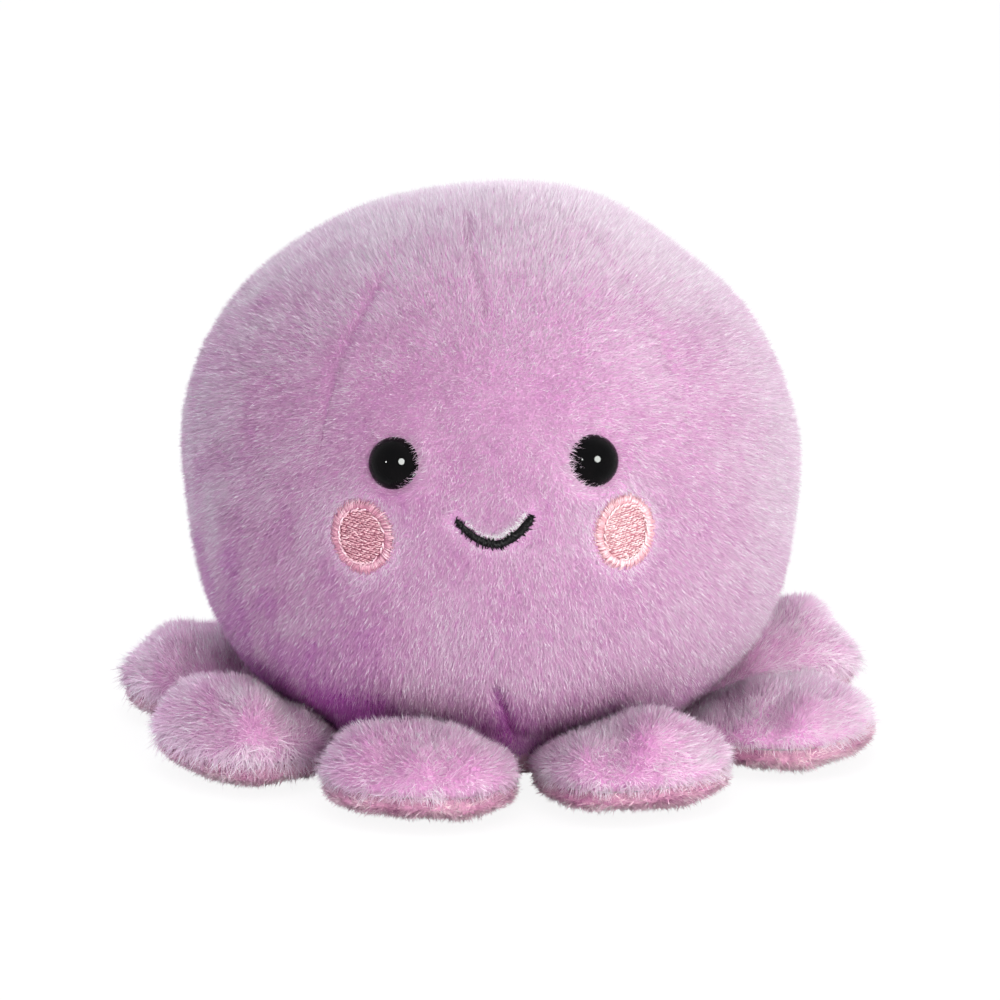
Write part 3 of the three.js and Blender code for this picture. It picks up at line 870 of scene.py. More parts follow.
@dataclass(frozen=True)
class HeadForm:
    """The head's outline, seams and unevenness."""

    radius: float = 50.5 * MM
    height: float = 92.2 * MM
    waist: float = 46.6 * MM
    crown_fullness: float = 2.0
    lower_fullness: float = 2.6
    face_turn: float = math.radians(1)
    seams: tuple[float, ...] = (-34, 43, 137, 232)
    sink: float = 1.15 * MM
    seam_depth: float = 0.4 * MM
    seam_width: float = 1.1 * MM
    seam_low_share: float = 0.15
    seam_heights: Pair = (56 * MM, 70 * MM)
    ring_distance: float = 32.7 * MM
    ring_height: float = 5.9 * MM
    lowest_share: float = 1.12
    lump: float = 0.35 * MM
    lump_size: float = 26 * MM
    arm_turns: tuple[float, ...] = (-13, 28.5, 71, 115, 162, 210, 256, 302.5)
    creases: tuple[Crease, ...] = (
        Crease(((-15, 90.5), (-12, 89.5), (-8, 87.5), (-4, 84.5), (-1, 80)), 0.3 * MM, 0.7 * MM, 0.5),
        Crease(((1.6, 18.8), (2.5, 16.5), (4.2, 13), (5.2, 10)), 1.4 * MM, 1.0 * MM, 1.2),
        Crease(((-9.5, 50.4), (-6.6, 49.4)), 0.3 * MM, 0.6 * MM, 0.5),
        Crease(((8.6, 49.8), (11, 51.2)), 0.3 * MM, 0.6 * MM, 0.5),
        Crease(((28, 51.5), (32, 50.2), (36, 48)), 0.4 * MM, 1.1 * MM, 0.1),
        Crease(((-61, 54.5), (-57, 53)), 0.7 * MM, 1.6 * MM, 0.3),
    )
    swells: tuple[Swell, ...] = (
        Swell(-80, 70, 45, 16, 1.5 * MM),
        Swell(75, 70, 30, 12, 0.8 * MM),
        Swell(50, 91, 110, 9, 1.3 * MM),
        Swell(-85, 85, 60, 8, -0.5 * MM),
        Swell(88, 82, 45, 7, -0.7 * MM),
        Swell(88, 42, 40, 14, 0.7 * MM),
        Swell(-80, 29, 40, 13, -0.9 * MM),
        Swell(85, 76, 40, 15, -0.5 * MM),
        Swell(-18, 57.4, 7.6, 6.5, 1.3 * MM),
        Swell(-18, 57.4, 4.2, 3.6, -1.5 * MM),
        Swell(20, 57.4, 7.6, 6.5, 1.3 * MM),
        Swell(20, 57.4, 4.2, 3.6, -1.5 * MM),
    )

    def half(self, below: Array) -> tuple[Array, Array]:
        """Fullness and height of the half below or above the waist."""
        heights = np.where(below, self.waist, self.height - self.waist)
        return np.where(below, self.lower_fullness, self.crown_fullness), heights

    def profile(self, tilt: Array, lift: Array | float = 0.0) -> tuple[Array, Array]:
        """Gives radius and height at a tilt above the waist.

        Args:
            tilt: The tilt, below 0 for the part under the waist.
            lift: How far out along the profile's own normal.

        Returns:
            The radius and the height.
        """
        fullness, rise = self.half(tilt < 0)
        across = np.maximum(np.cos(tilt), 0) ** (2 / fullness)
        along = np.sign(tilt) * np.abs(np.sin(tilt)) ** (2 / fullness)
        out = across ** (fullness - 1) / self.radius
        up = np.sign(along) * np.abs(along) ** (fullness - 1) / rise
        size = np.hypot(out, up)
        return self.radius * across + lift * out / size, self.waist + rise * along + lift * up / size

    def tilt_at_height(self, height: Array | float) -> Array:
        """Finds the tilt at which the skin is this high.

        Args:
            height: The height above the floor.

        Returns:
            The tilt there.
        """
        height = np.asarray(height, float)
        fullness, rise = self.half(height < self.waist)
        share = np.minimum(np.abs(height - self.waist) / rise, 1)
        return np.sign(height - self.waist) * np.arcsin(share ** (fullness / 2))

    @property
    def lowest_tilt(self) -> float:
        """The tilt of the lowest row of skin above the sewn ring."""
        share = self.ring_distance * self.lowest_share / self.radius
        return -math.acos(share ** (self.lower_fullness / 2))

    def even_tilts(self, count: int) -> Array:
        """Spaces tilts evenly along the skin, from the lowest row to the crown.

        Args:
            count: How many.

        Returns:
            The tilts.
        """
        fine = np.linspace(self.lowest_tilt, math.pi / 2, 4000)
        radius, height = self.profile(fine)
        steps = np.hypot(np.diff(radius), np.diff(height))
        run = np.concatenate([[0], np.cumsum(steps)])
        return np.interp(np.linspace(0, run[-1], count), run, fine)

    def ring_radius(self, longitude: Array) -> Array:
        """Distance from the axis to the sewn ring, which runs straight along each arm's root."""
        turns = np.radians(np.array(self.arm_turns))
        return self.ring_distance / np.cos(np.asarray(longitude)[..., None] - turns).max(-1)

    def seam_distance(self, longitude: Array, radius: Array) -> Array:
        """How far along the skin the nearest seam is."""
        turns = np.radians(np.array(self.seams))
        nearest = np.cos(np.asarray(longitude)[..., None] - turns).max(-1)
        return np.arccos(np.clip(nearest, -1, 1)) * radius

    def unevenness(self, longitude: Array, tilt: Array) -> Array:
        """Adds up seams, creases, swells and lumps.

        Args:
            longitude: Longitudes of places on the skin.
            tilt: Their tilts.

        Returns:
            How far out the skin lies there from its even form.
        """
        radius, height = self.profile(tilt)
        points = around(longitude, radius, height)
        lift = self.lump * SoftNoise(self.lump_size, seed=5)(points) - self.sink
        for swell in self.swells:
            off = longitude - math.radians(swell.longitude)
            turn = np.degrees(np.arctan2(np.sin(off), np.cos(off)))
            rise = (height / MM - swell.height) / swell.rise
            lift = lift + swell.lift * np.exp(-((turn / swell.turn) ** 2) - rise**2)
        off = self.seam_distance(longitude, radius)
        high = smooth_share(height, *self.seam_heights)
        depth = self.seam_depth * (self.seam_low_share + (1 - self.seam_low_share) * high)
        lift -= depth * np.sqrt(np.maximum(np.cos(tilt), 0)) * np.exp(-((off / self.seam_width) ** 2))
        for crease in self.creases:
            off = self.line_distance(points, crease)
            lift -= crease.depth * np.exp(-((off / crease.width) ** 2))
        return lift

    def painted_fold_shade(self, points: Array) -> Array:
        """How much painted shade each point gets from the creases, from 0 to 1."""
        depths = [fold.shade * np.exp(-((self.line_distance(points, fold) / fold.width) ** 2))
                  for fold in self.creases]
        return np.max(depths, 0)

    def line_distance(self, points: Array, crease: Crease) -> Array:
        """Measures from a crease's line.

        Args:
            points: Points near the skin.
            crease: The crease.

        Returns:
            Each point's distance from the line.
        """
        turns, heights = np.array(crease.line, float).T
        radius, height = self.profile(self.tilt_at_height(heights * MM))
        line = around(np.radians(turns), radius, height)
        best = np.full(points.shape[:-1], np.inf)
        for start, end in zip(line[:-1], line[1:]):
            step = end - start
            share = np.clip((points - start) @ step / (step @ step), 0, 1)
            best = np.minimum(best, np.linalg.norm(points - start - share[..., None] * step, axis=-1))
        return best

    def point(self, longitude: Array, tilt: Array, lift: Array | float = 0.0) -> Array:
        """Points of the skin, lifted off it."""
        radius, height = self.profile(tilt, self.unevenness(longitude, tilt) + lift)
        return around(longitude, radius, height)

    def spot(self, sideways: float, height: float) -> FaceSpot:
        """A place on the face, from a spacing seen from the front."""
        radius = float(self.profile(self.tilt_at_height(height))[0])
        return FaceSpot(self.face_turn + math.asin(sideways / radius), height)

    def facing(self, spot: FaceSpot) -> tuple[Array, Array]:
        """A spot's point on the even skin, and the skin's normal there."""
        tilt = self.tilt_at_height(spot.height)
        low, high = (around(spot.longitude, *self.profile(tilt, lift)) for lift in (0.0, MM))
        return low, unit(high - low)

    def near(self, spot: FaceSpot, sideways: Array, upwards: Array, lift: Array | float) -> Array:
        """Points so far along the skin from a spot, lifted off the skin."""
        tilt = self.tilt_at_height(spot.height + upwards)
        longitude = spot.longitude + sideways / self.profile(tilt)[0]
        return self.point(longitude, tilt, lift)

    def offsets(self, spot: FaceSpot, longitude: Array, tilt: Array) -> tuple[Array, Array]:
        """How far sideways and upwards places on the skin lie from a spot."""
        radius, height = self.profile(tilt)
        off = longitude - spot.longitude
        return np.arctan2(np.sin(off), np.cos(off)) * radius, height - spot.height


@dataclass(frozen=True)
class Combing:
    """How the pile is cut and combed round the eyes, cheeks and mouth, by distance from their edges, and how
    far its painted highlight reaches round the cheeks and the smile.

    Where a name ends in bare, nothing grows below it. From short, the pile grows back to its length at full.
    """

    eye_bare: float = -0.5 * MM
    eye_span: Pair = (0.5 * MM, 2.2 * MM)
    inner_span: Pair = (1 * MM, 4.2 * MM)
    eye_longer: float = 0.25
    eye_upright: float = math.radians(16)
    inner_lean: float = 1.9
    eye_pull: float = 2.5
    cheek_bare: float = -0.15 * MM
    cheek_span: Pair = (0.2 * MM, 1.6 * MM)
    cheek_short: float = 0.62
    cheek_full: float = 2.4 * MM
    cheek_highlight: float = 0.8
    cheek_highlight_edge: float = 0.3 * MM
    cheek_pull: float = 0.9
    mouth_bare_share: float = 0.8
    mouth_span: float = 1.8 * MM
    mouth_short: float = 0.5
    mouth_full: float = 3.2 * MM
    mouth_highlight_span: float = 1.5 * MM
    mouth_highlight_below: float = 0.5
    mouth_pull: float = 1.8
    mouth_steps: int = 41


@dataclass(frozen=True)
class Face:
    """The sizes of the face, which the pile leaves room for."""

    form: HeadForm
    combing: Combing = Combing()
    eye_height: float = 57.4 * MM
    eye_spacing: float = 32 * MM
    eye_radius: float = 4.3 * MM
    cheek_half_width: float = 5.4 * MM
    cheek_half_height: float = 6.0 * MM
    cheek_from_eye: float = 13.2 * MM
    cheek_outward: float = math.radians(23.5)
    mouth_half_width: float = 6.2 * MM
    mouth_depth: float = 4.3 * MM
    mouth_below_eyes: float = 8.3 * MM
    mouth_half_thickness: float = 0.78 * MM
    tilt: float = math.radians(0.9)
    mouth_tilt: float = math.radians(3.5)

    def eye_spot(self, side: Side) -> FaceSpot:
        """Where an eye sits."""
        sideways = side.value * self.eye_spacing / 2
        return self.form.spot(sideways, self.eye_height + 0.5 * sideways * math.sin(self.tilt))

    def cheek_spot(self, side: Side) -> FaceSpot:
        """Where a cheek's middle lies."""
        sideways = self.eye_spacing / 2 + self.cheek_from_eye * math.sin(self.cheek_outward)
        height = self.eye_height - self.cheek_from_eye * math.cos(self.cheek_outward)
        return self.form.spot(side.value * sideways, height + side.value * sideways * math.sin(self.tilt))

    @property
    def mouth_spot(self) -> FaceSpot:
        """The point between the corners of the mouth."""
        return self.form.spot(0, self.eye_height - self.mouth_below_eyes)

    def mouth_arc(self, share: Array) -> Array:
        """The smile's middle line, sideways and upwards, from -1 at one corner to 1 at the other."""
        turn = math.sin(self.mouth_tilt)
        sideways, upwards = share * self.mouth_half_width, -self.mouth_depth * (1 - share**2)
        return np.stack([sideways - turn * upwards, upwards + turn * sideways], -1)

    def mouth_across(self, share: Array) -> Array:
        """The direction across the smile, sideways and upwards."""
        slope = 2 * self.mouth_depth * share / self.mouth_half_width + math.sin(self.mouth_tilt)
        return unit(np.stack([-slope, np.ones_like(share)], -1))

    def groom(self, longitude: Array, tilt: Array) -> Groom:
        """How the face changes the pile: it closes over the eyes' rims and parts round the stitching.

        Args:
            longitude: Longitudes of places on the skin.
            tilt: Their tilts.

        Returns:
            The pile's groom there.
        """
        none, east = np.zeros_like(longitude), eastward(longitude)
        groom = Groom(growth=none + 1, pale=none, lay=none.copy(), pull=0 * east, east=east)
        for side in Side:
            sideways, upwards = self.form.offsets(self.eye_spot(side), longitude, tilt)
            inner = smooth_share(-side.value * sideways, *self.combing.inner_span)
            self._groom_eye(groom, sideways, upwards, inner)
            self._groom_cheek(groom, *self.form.offsets(self.cheek_spot(side), longitude, tilt))
        self._groom_mouth(groom, *self.form.offsets(self.mouth_spot, longitude, tilt))
        return groom

    def _groom_eye(self, groom: Groom, sideways: Array, upwards: Array, inner: Array) -> None:
        """Stands the pile up round an eye and leans it over the rim, further so on the inner side.

        Args:
            groom: The groom that is changed.
            sideways: How far sideways from the eye's middle.
            upwards: How far upwards from it.
            inner: How far towards the nose, from 0 to 1.
        """
        comb = self.combing
        off = np.hypot(sideways, upwards) - self.eye_radius
        near = 1 - smooth_share(off, *comb.eye_span)
        groom.growth *= np.where(off < comb.eye_bare, 0, 1 + comb.eye_longer * (1 + inner) * near)
        groom.lay -= comb.eye_upright * near * (1 - comb.inner_lean * inner)
        groom.comb(-comb.eye_pull * near, sideways, upwards)

    def _groom_cheek(self, groom: Groom, sideways: Array, upwards: Array) -> None:
        """Parts the pile round a cheek, and paints a pale highlight round it.

        Args:
            groom: The groom that is changed.
            sideways: How far sideways from the cheek's middle.
            upwards: How far upwards from it.
        """
        comb = self.combing
        oval = np.hypot(sideways / self.cheek_half_width, upwards / self.cheek_half_height)
        off = (oval - 1) * self.cheek_half_width
        near = 1 - smooth_share(off, *comb.cheek_span)
        grown = comb.cheek_short + (1 - comb.cheek_short) * smooth_share(off, 0, comb.cheek_full)
        groom.growth *= np.where(off < comb.cheek_bare, 0, grown)
        groom.comb(comb.cheek_pull * near, sideways, upwards)
        # Painted highlight: the pile round the cheek is paler.
        painted_halo = 1 - smooth_share(off, comb.cheek_highlight_edge, comb.cheek_full)
        groom.pale = np.maximum(groom.pale, comb.cheek_highlight * painted_halo)

    def _groom_mouth(self, groom: Groom, sideways: Array, upwards: Array) -> None:
        """Parts the pile round the mouth and paints a pale highlight fringe above it, weaker below.

        Args:
            groom: The groom that is changed.
            sideways: How far sideways from the point between the mouth's corners.
            upwards: How far upwards from it.
        """
        comb = self.combing
        off, across, above = np.full_like(sideways, np.inf), np.zeros_like(sideways), np.zeros_like(sideways)
        for middle in self.mouth_arc(np.linspace(-1, 1, comb.mouth_steps)):
            near = np.hypot(sideways - middle[0], upwards - middle[1])
            across = np.where(near < off, sideways - middle[0], across)
            above = np.where(near < off, upwards - middle[1], above)
            off = np.minimum(off, near)
        edge = self.mouth_half_thickness
        near = 1 - smooth_share(off, edge, edge + comb.mouth_span)
        grown = comb.mouth_short + (1 - comb.mouth_short) * smooth_share(off, edge, comb.mouth_full)
        groom.growth *= np.where(off < edge * comb.mouth_bare_share, 0, grown)
        groom.comb(comb.mouth_pull * near, across, above)
        # Painted highlight along the smile, full above it and weaker below.
        fringe = 1 - smooth_share(off, edge, edge + comb.mouth_highlight_span)
        groom.pale = np.maximum(groom.pale, np.where(above > 0, 1.0, comb.mouth_highlight_below) * fringe)


@dataclass(frozen=True)
class HeadShade:
    """Where the head's pile is pale and where it is deep, from -1, the deepest, to 1, the palest: random
    patches, painted light at the crown and far right, and painted shade low on the left, at the foot and in
    the seams.

    Spans named turns are of the sine of the longitude, which is 1 far right and -1 far left.
    """

    plain: float = 0.3
    wide_patch: float = 0.14
    wide_patch_size: float = 17 * MM
    small_patch: float = 0.08
    small_patch_left: float = 0.2
    small_patch_size: float = 7 * MM
    left_turns: Pair = (0.1, 0.8)
    crown_painted_light: float = 0.62
    crown_heights: Pair = (66 * MM, 91 * MM)
    low_painted_shade: float = 0.75
    low_right_share: float = 0.05
    low_heights: Pair = (16 * MM, 50 * MM)
    low_deepest: float = -0.35
    right_painted_light: float = 0.25
    right_turns: Pair = (0.7, 0.98)
    right_heights: Pair = (22 * MM, 40 * MM)
    foot_painted_shade: float = 0.95
    foot_right_less: float = 0.45
    foot_turns: Pair = (0.2, 0.7)
    foot_heights: Pair = (10 * MM, 21 * MM)
    palest: float = 0.95
    seam_width: float = 0.75 * MM
    seam_right_less: float = 0.6
    seam_turns: Pair = (0.0, 0.5)
    seam_starts: Pair = (58 * MM, 68 * MM)
    seam_ends: Pair = (80 * MM, 89 * MM)
    seam_patch_size: float = 5 * MM
    # How much darker a seam's parting is painted: painted shade.
    seam_painted_shade: float = 0.75
    seam_short: float = 0.4

    def patches(self, longitude: Array, points: Array) -> Array:
        """Works out how pale the pile is before the face and the folds change it: random patches, painted
        light at the crown and far right, painted shade low on the left and at the foot.

        Args:
            longitude: Longitudes of places on the skin.
            points: The points there.

        Returns:
            The paleness.
        """
        east, height = np.sin(longitude), points[..., 2]
        left = smooth_share(-east, *self.left_turns)
        pale = self.plain + self.wide_patch * SoftNoise(self.wide_patch_size, seed=31)(points)
        small = SoftNoise(self.small_patch_size, seed=32)(points)
        pale = pale + (self.small_patch + self.small_patch_left * left) * small
        # Painted light: paler towards the crown, lit from above.
        pale = pale + self.crown_painted_light * smooth_share(height, *self.crown_heights)
        # Painted light on the far right, which faces the light.
        right = smooth_share(east, *self.right_turns)
        pale = pale + self.right_painted_light * right * smooth_share(height, *self.right_heights)
        # Painted shade low on the left and at the foot, away from the light and next to the arms.
        low = self.low_right_share + (1 - self.low_right_share) * left
        low = low * (1 - smooth_share(height, *self.low_heights))
        foot = 1 - smooth_share(height, *self.foot_heights)
        foot = foot * (1 - self.foot_right_less * smooth_share(east, *self.foot_turns))
        deep = np.maximum(pale - self.low_painted_shade * low, self.low_deepest) - self.foot_painted_shade * foot
        return np.clip(deep, -1, self.palest)

    def seam(self, off: Array, longitude: Array, points: Array) -> Array:
        """Works out how far the pile parts over a seam, most on the left and high up, in patches.

        Args:
            off: Distances of places on the skin from the nearest seam.
            longitude: Their longitudes.
            points: The points there.

        Returns:
            The parting, from 0 to 1.
        """
        height = points[..., 2]
        part = np.exp(-((off / self.seam_width) ** 2))
        part = part * (1 - self.seam_right_less * smooth_share(np.sin(longitude), *self.seam_turns))
        part = part * smooth_share(height, *self.seam_starts) * (1 - smooth_share(height, *self.seam_ends))
        return part * np.clip(0.75 + 0.5 * SoftNoise(self.seam_patch_size, seed=33)(points), 0, 1)


@dataclass
class Head:
    """The head's four sewn panels, each a cloth with its pile."""

    form: HeadForm
    face: Face
    plush: PlushFinish
    rows: int = 150
    ring_rows: int = 7
    columns: int = 112
    gap: float = 0.2 * MM
    thickness: float = 0.8 * MM
    fill: float = 0.85
    shade: HeadShade = HeadShade()
    short_lay: float = 0.2
    crown_upright: float = math.radians(20)
    upright_heights: Pair = (72 * MM, 89 * MM)
    sweep: float = 0.55
    sweep_starts: Pair = (8, 50)
    sweep_ends: Pair = (110, 160)
    crown_flow: float = 0.6
    crown_heights: Pair = (70 * MM, 92 * MM)
    piles: tuple[tuple[str, Pile], ...] = (
        ("_pile", Pile(length=1.65 * MM, width=0.13 * MM, per_square_mm=7.3, lean=math.radians(22),
                       swirl=0.22, sway=0.6)),
        ("_underpile", Pile(length=1.4 * MM, width=0.15 * MM, per_square_mm=7.3, lean=math.radians(20),
                            swirl=0.22, sway=0.6)),
    )

    PANELS = ("front_panel", "right_side_panel", "back_panel", "left_side_panel")

    def build(self) -> None:
        """Builds all four panels."""
        cloth, hair = self.plush.cloth(), self.plush.pile()
        seams = [*self.form.seams, self.form.seams[0] + 360]
        for seed, (name, start, end) in enumerate(zip(self.PANELS, seams, seams[1:])):
            grid = self.panel(math.radians(start), math.radians(end))
            skin = grid_piece(name + "_cloth", grid, cloth, self.thickness)
            place(skin, "body", Slot.LILAC, name)
            for layer, (ending, pile) in enumerate(self.piles):
                grown = pile.grow(name + ending, grid, hair, 10 * seed + 11 + 4 * layer)
                place(grown, "body", Slot.LILAC)

    def panel(self, start: float, end: float) -> SkinGrid:
        """The skin of the panel between two seams.

        Args:
            start: The longitude of its first seam.
            end: The longitude of its last seam.

        Returns:
            The panel's grid, from the sewn ring to the crown.
        """
        middle, half = (start + end) / 2, (end - start) / 2
        sides = np.linspace(-1, 1, self.columns)
        sides = (sides + np.sin(sides * math.pi / 2)) / 2
        tilts = self.form.even_tilts(self.rows)
        tilts = np.concatenate([np.full(self.ring_rows, tilts[0]), tilts])
        longitude, tilt = np.meshgrid(middle + half * sides, tilts)
        points = self.form.point(longitude, tilt)
        ring = around(longitude[0], self.form.ring_radius(longitude[0]), self.form.ring_height)
        share = np.linspace(0, 1, self.ring_rows + 1)[:-1, None, None]
        points[: self.ring_rows] = ring + (points[0] - ring) * share
        points += around(middle, self.gap / 2 / math.sin(half), 0.0)
        groom = self.face.groom(longitude, tilt)
        height = points[..., 2]
        even = self.form.profile(tilt)
        seam = self.shade.seam(self.form.seam_distance(longitude, even[0]), longitude, points)
        # Painted shade in the creases and along the seams' partings, taken off the paleness below.
        fold = np.maximum(self.form.painted_fold_shade(around(longitude, *even)), self.shade.seam_painted_shade * seam)
        pale = self.shade.patches(longitude, points)
        # The face's painted highlights lift the paleness towards the palest.
        pale = pale + (self.shade.palest - pale) * groom.pale - fold
        lay = groom.lay + self.short_lay * (1 - groom.growth)
        lay = lay - self.crown_upright * smooth_share(height, *self.upright_heights)
        flow = self.flow(longitude, height) + groom.pull
        return SkinGrid(points, flow, groom.growth * (1 - self.shade.seam_short * seam), pale, lay)

    def flow(self, longitude: Array, height: Array) -> Array:
        """Combs the pile down, outwards at the crown, and towards the face on its left.

        Args:
            longitude: Longitudes of places on the skin.
            height: Their heights.

        Returns:
            The directions in which it is combed.
        """
        out = around(longitude, np.ones_like(longitude), 0.0)
        turn = np.degrees(np.arctan2(np.sin(longitude), np.cos(longitude)))
        sweep = self.sweep * smooth_share(-turn, *self.sweep_starts)
        sweep = sweep * (1 - smooth_share(-turn, *self.sweep_ends))
        crown = self.crown_flow * smooth_share(height, *self.crown_heights)
        return -UP + crown[..., None] * out + sweep[..., None] * eastward(longitude)


@dataclass
class Eye:
    """A glossy safety eye: a domed front, a flat back and a ridged stem through the cloth."""

    side: Side
    face: Face
    finish: MouldedFinish
    dome: float = 3.5 * MM
    stem_radius: float = 1.5 * MM
    stem_length: float = 10 * MM
    ridge: float = 0.45 * MM
    first_ridge: float = 4.3 * MM
    ridge_pitch: float = 1.9 * MM
    ridges: int = 3
    ridge_edge: float = 0.1 * MM
    seat: float = -0.6 * MM
    soft_edge: float = 0.2 * MM
    sharp_angle: float = math.radians(38)
    sides: int = 64
    dome_rows: int = 26

    def profile(self) -> list[Pair]:
        """Draws the eye's outline from the stem's point to the top of the dome.

        Returns:
            Radii and heights, with the flat back at height 0.
        """
        stem, wide = self.stem_radius, self.stem_radius + self.ridge
        line = [(0.0, -self.stem_length), (stem / 2, -self.stem_length)]
        for number in reversed(range(self.ridges)):
            depth = self.first_ridge + number * self.ridge_pitch
            back = -depth - self.ridge_pitch / 2
            line += [(stem, back), (wide, -depth - self.ridge_edge), (wide, -depth), (stem, -depth)]
        radius = self.face.eye_radius
        lowest = math.asin((radius - self.dome) / radius)
        line += [(stem, 0.0), (radius * math.cos(lowest) - self.soft_edge, 0.0)]
        for turn in np.linspace(lowest + self.soft_edge / radius, math.pi / 2, self.dome_rows):
            line.append((radius * math.cos(turn), self.dome - radius * (1 - math.sin(turn))))
        line[-1] = (0.0, self.dome)
        return line

    def build(self) -> None:
        """Builds the eye on the skin."""
        name = self.side.name.lower() + "_eye"
        points, faces = revolved(self.profile(), self.sides)
        spot, normal = self.face.form.facing(self.face.eye_spot(self.side))
        points = stood(points, spot + normal * self.seat, normal)
        eye = new_piece(name + "_dome", points, faces, self.finish.material())
        weld(eye)
        eye.data.set_sharp_from_angle(angle=self.sharp_angle)
        place(eye, "body", Slot.EYE, name)


@dataclass
class Cheek:
    """An embroidered cheek: a ring of satin stitch round rows of short stitches, on a raised bed."""

    side: Side
    face: Face
    ring: ThreadFinish
    field: ThreadFinish
    border: float = 1.45 * MM
    lift: float = 0.2 * MM
    height: float = 0.55 * MM
    ring_threads: int = 210
    slant: float = 0.09
    thread_radius: float = 0.082 * MM
    row_pitch: float = 0.35 * MM
    stitch: float = 0.72 * MM
    row_turn: float = math.radians(11)
    row_stitches: int = 9
    stitch_steps: int = 7
    stitch_radius: float = 0.135 * MM
    stitch_dip: float = 0.26 * MM
    edge_stitches: int = 34
    edge_radius: float = 0.13 * MM
    steps: int = 9
    bed_turns: int = 96
    bed_bends: int = 9
    field_turns: int = 64
    field_rings: int = 12

    def build(self) -> None:
        """Builds the ring and the field inside it."""
        name = self.side.name.lower() + "_cheek_"
        rng = np.random.default_rng(70 + self.side.value)
        parts = [self.ring_bed(), self.ring_paths(rng), self.edge_paths(rng)]
        ring = thread_piece(name + "ring", parts, self.ring, rng)
        place(ring, "body", Slot.CHEEK_EDGE, name + "border")
        parts = [self.field_bed(), self.field_paths(rng)]
        stitches = thread_piece(name + "stitches", parts, self.field, rng)
        place(stitches, "body", Slot.CHEEK, name + "fill")

    def oval(self, turn: Array, inward: Array, lift: Array) -> Array:
        """Points so far in from the cheek's outline, lifted off the skin."""
        sideways = (self.face.cheek_half_width - inward) * np.cos(turn)
        upwards = (self.face.cheek_half_height - inward) * np.sin(turn)
        return self.face.form.near(self.face.cheek_spot(self.side), sideways, upwards, lift)

    def ring_bed(self) -> Solid:
        """Makes the closed half-round ring under the satin stitch.

        Returns:
            Its points and faces.
        """
        turns = np.arange(self.bed_turns) * math.tau / self.bed_turns
        turn, bend = np.meshgrid(turns, np.linspace(0, math.pi, self.bed_bends), indexing="ij")
        lift = self.lift - 0.1 * MM + (self.height - 0.15 * MM) * np.sin(bend)
        points = self.oval(turn, self.border / 2 * (1.08 - 0.86 * np.cos(bend)), lift)
        faces = grid_faces(*turn.shape, closed_rows=True, closed_columns=True)
        return points.reshape(-1, 3), [faces[:, ::-1]]

    def ring_paths(self, rng: np.random.Generator) -> Threads:
        """Lays the satin stitches, each over the ring from its outside to its inside.

        Args:
            rng: The source of their unevenness.

        Returns:
            The stitches.
        """
        share = np.linspace(0, 1, self.steps)[None, :]
        turn = (np.arange(self.ring_threads)[:, None] + 0.5 * rng.random((self.ring_threads, 1)))
        turn = turn * math.tau / self.ring_threads + self.slant * (share - 0.5)
        turn = turn + 0.018 * rng.normal(size=(self.ring_threads, 1)) * (1 - share) ** 2
        outer = rng.uniform(-0.55, 0.15, (self.ring_threads, 1)) * MM
        inner = rng.uniform(-0.12, 0.12, (self.ring_threads, 1)) * MM
        inward = outer + (self.border + inner - outer) * (1 - np.cos(share * math.pi)) / 2
        lift = self.lift + self.height * np.sin(share * math.pi) ** 0.9 - 0.15 * MM * (1 - share) ** 3
        points = self.oval(turn, inward, lift)
        hints = self.oval(turn, inward, lift + MM) - points
        taper = 0.3 + 0.7 * smooth_share(share, 0, 0.45)
        radii = self.thread_radius * rng.uniform(0.85, 1.2, (self.ring_threads, 1)) * taper
        return Threads(points, hints, radii, palest=0.95, deepest=0.3)

    def edge_paths(self, rng: np.random.Generator) -> Threads:
        """Lays the bright running stitches on the seam between the ring and the field, a painted highlight
        along the ring's inner edge.

        Args:
            rng: The source of their unevenness.

        Returns:
            The stitches, fewer away from the painted highlight's side.
        """
        share = np.linspace(0, 1, self.steps)[None, :]
        pitch = math.tau / self.edge_stitches
        turn = (np.arange(self.edge_stitches)[:, None] + 1.25 * share) * pitch
        turn = turn + 0.14 * pitch * rng.normal(size=(self.edge_stitches, 1))
        slip = 0.3 * (share - 0.5) + 0.06 * rng.normal(size=(self.edge_stitches, 1))
        inward = self.border + (0.05 + slip) * MM
        lift = self.lift + self.height * (0.75 + 0.3 * np.sin(share * math.pi)) * np.ones_like(turn)
        points = self.oval(turn, inward, lift)
        hints = self.oval(turn, inward, lift + MM) - points
        taper = 1 - 0.5 * from_middle(share) ** 6
        radii = self.edge_radius * rng.uniform(0.85, 1.15, (self.edge_stitches, 1)) * taper
        middle = turn[:, self.steps // 2]
        # Painted highlight: the bright stitches are kept mostly on the side that faces the light.
        kept = (np.cos(middle - self.painted_highlight_turn) > -0.3) | (rng.random(self.edge_stitches) < 0.35)
        return Threads(points[kept], hints[kept], radii[kept], palest=1.0, deepest=0.85)

    @property
    def painted_highlight_turn(self) -> float:
        """The turn round the cheek at which its running stitches, a painted highlight, stand out most."""
        return math.radians(205 if self.side is Side.LEFT else 60)

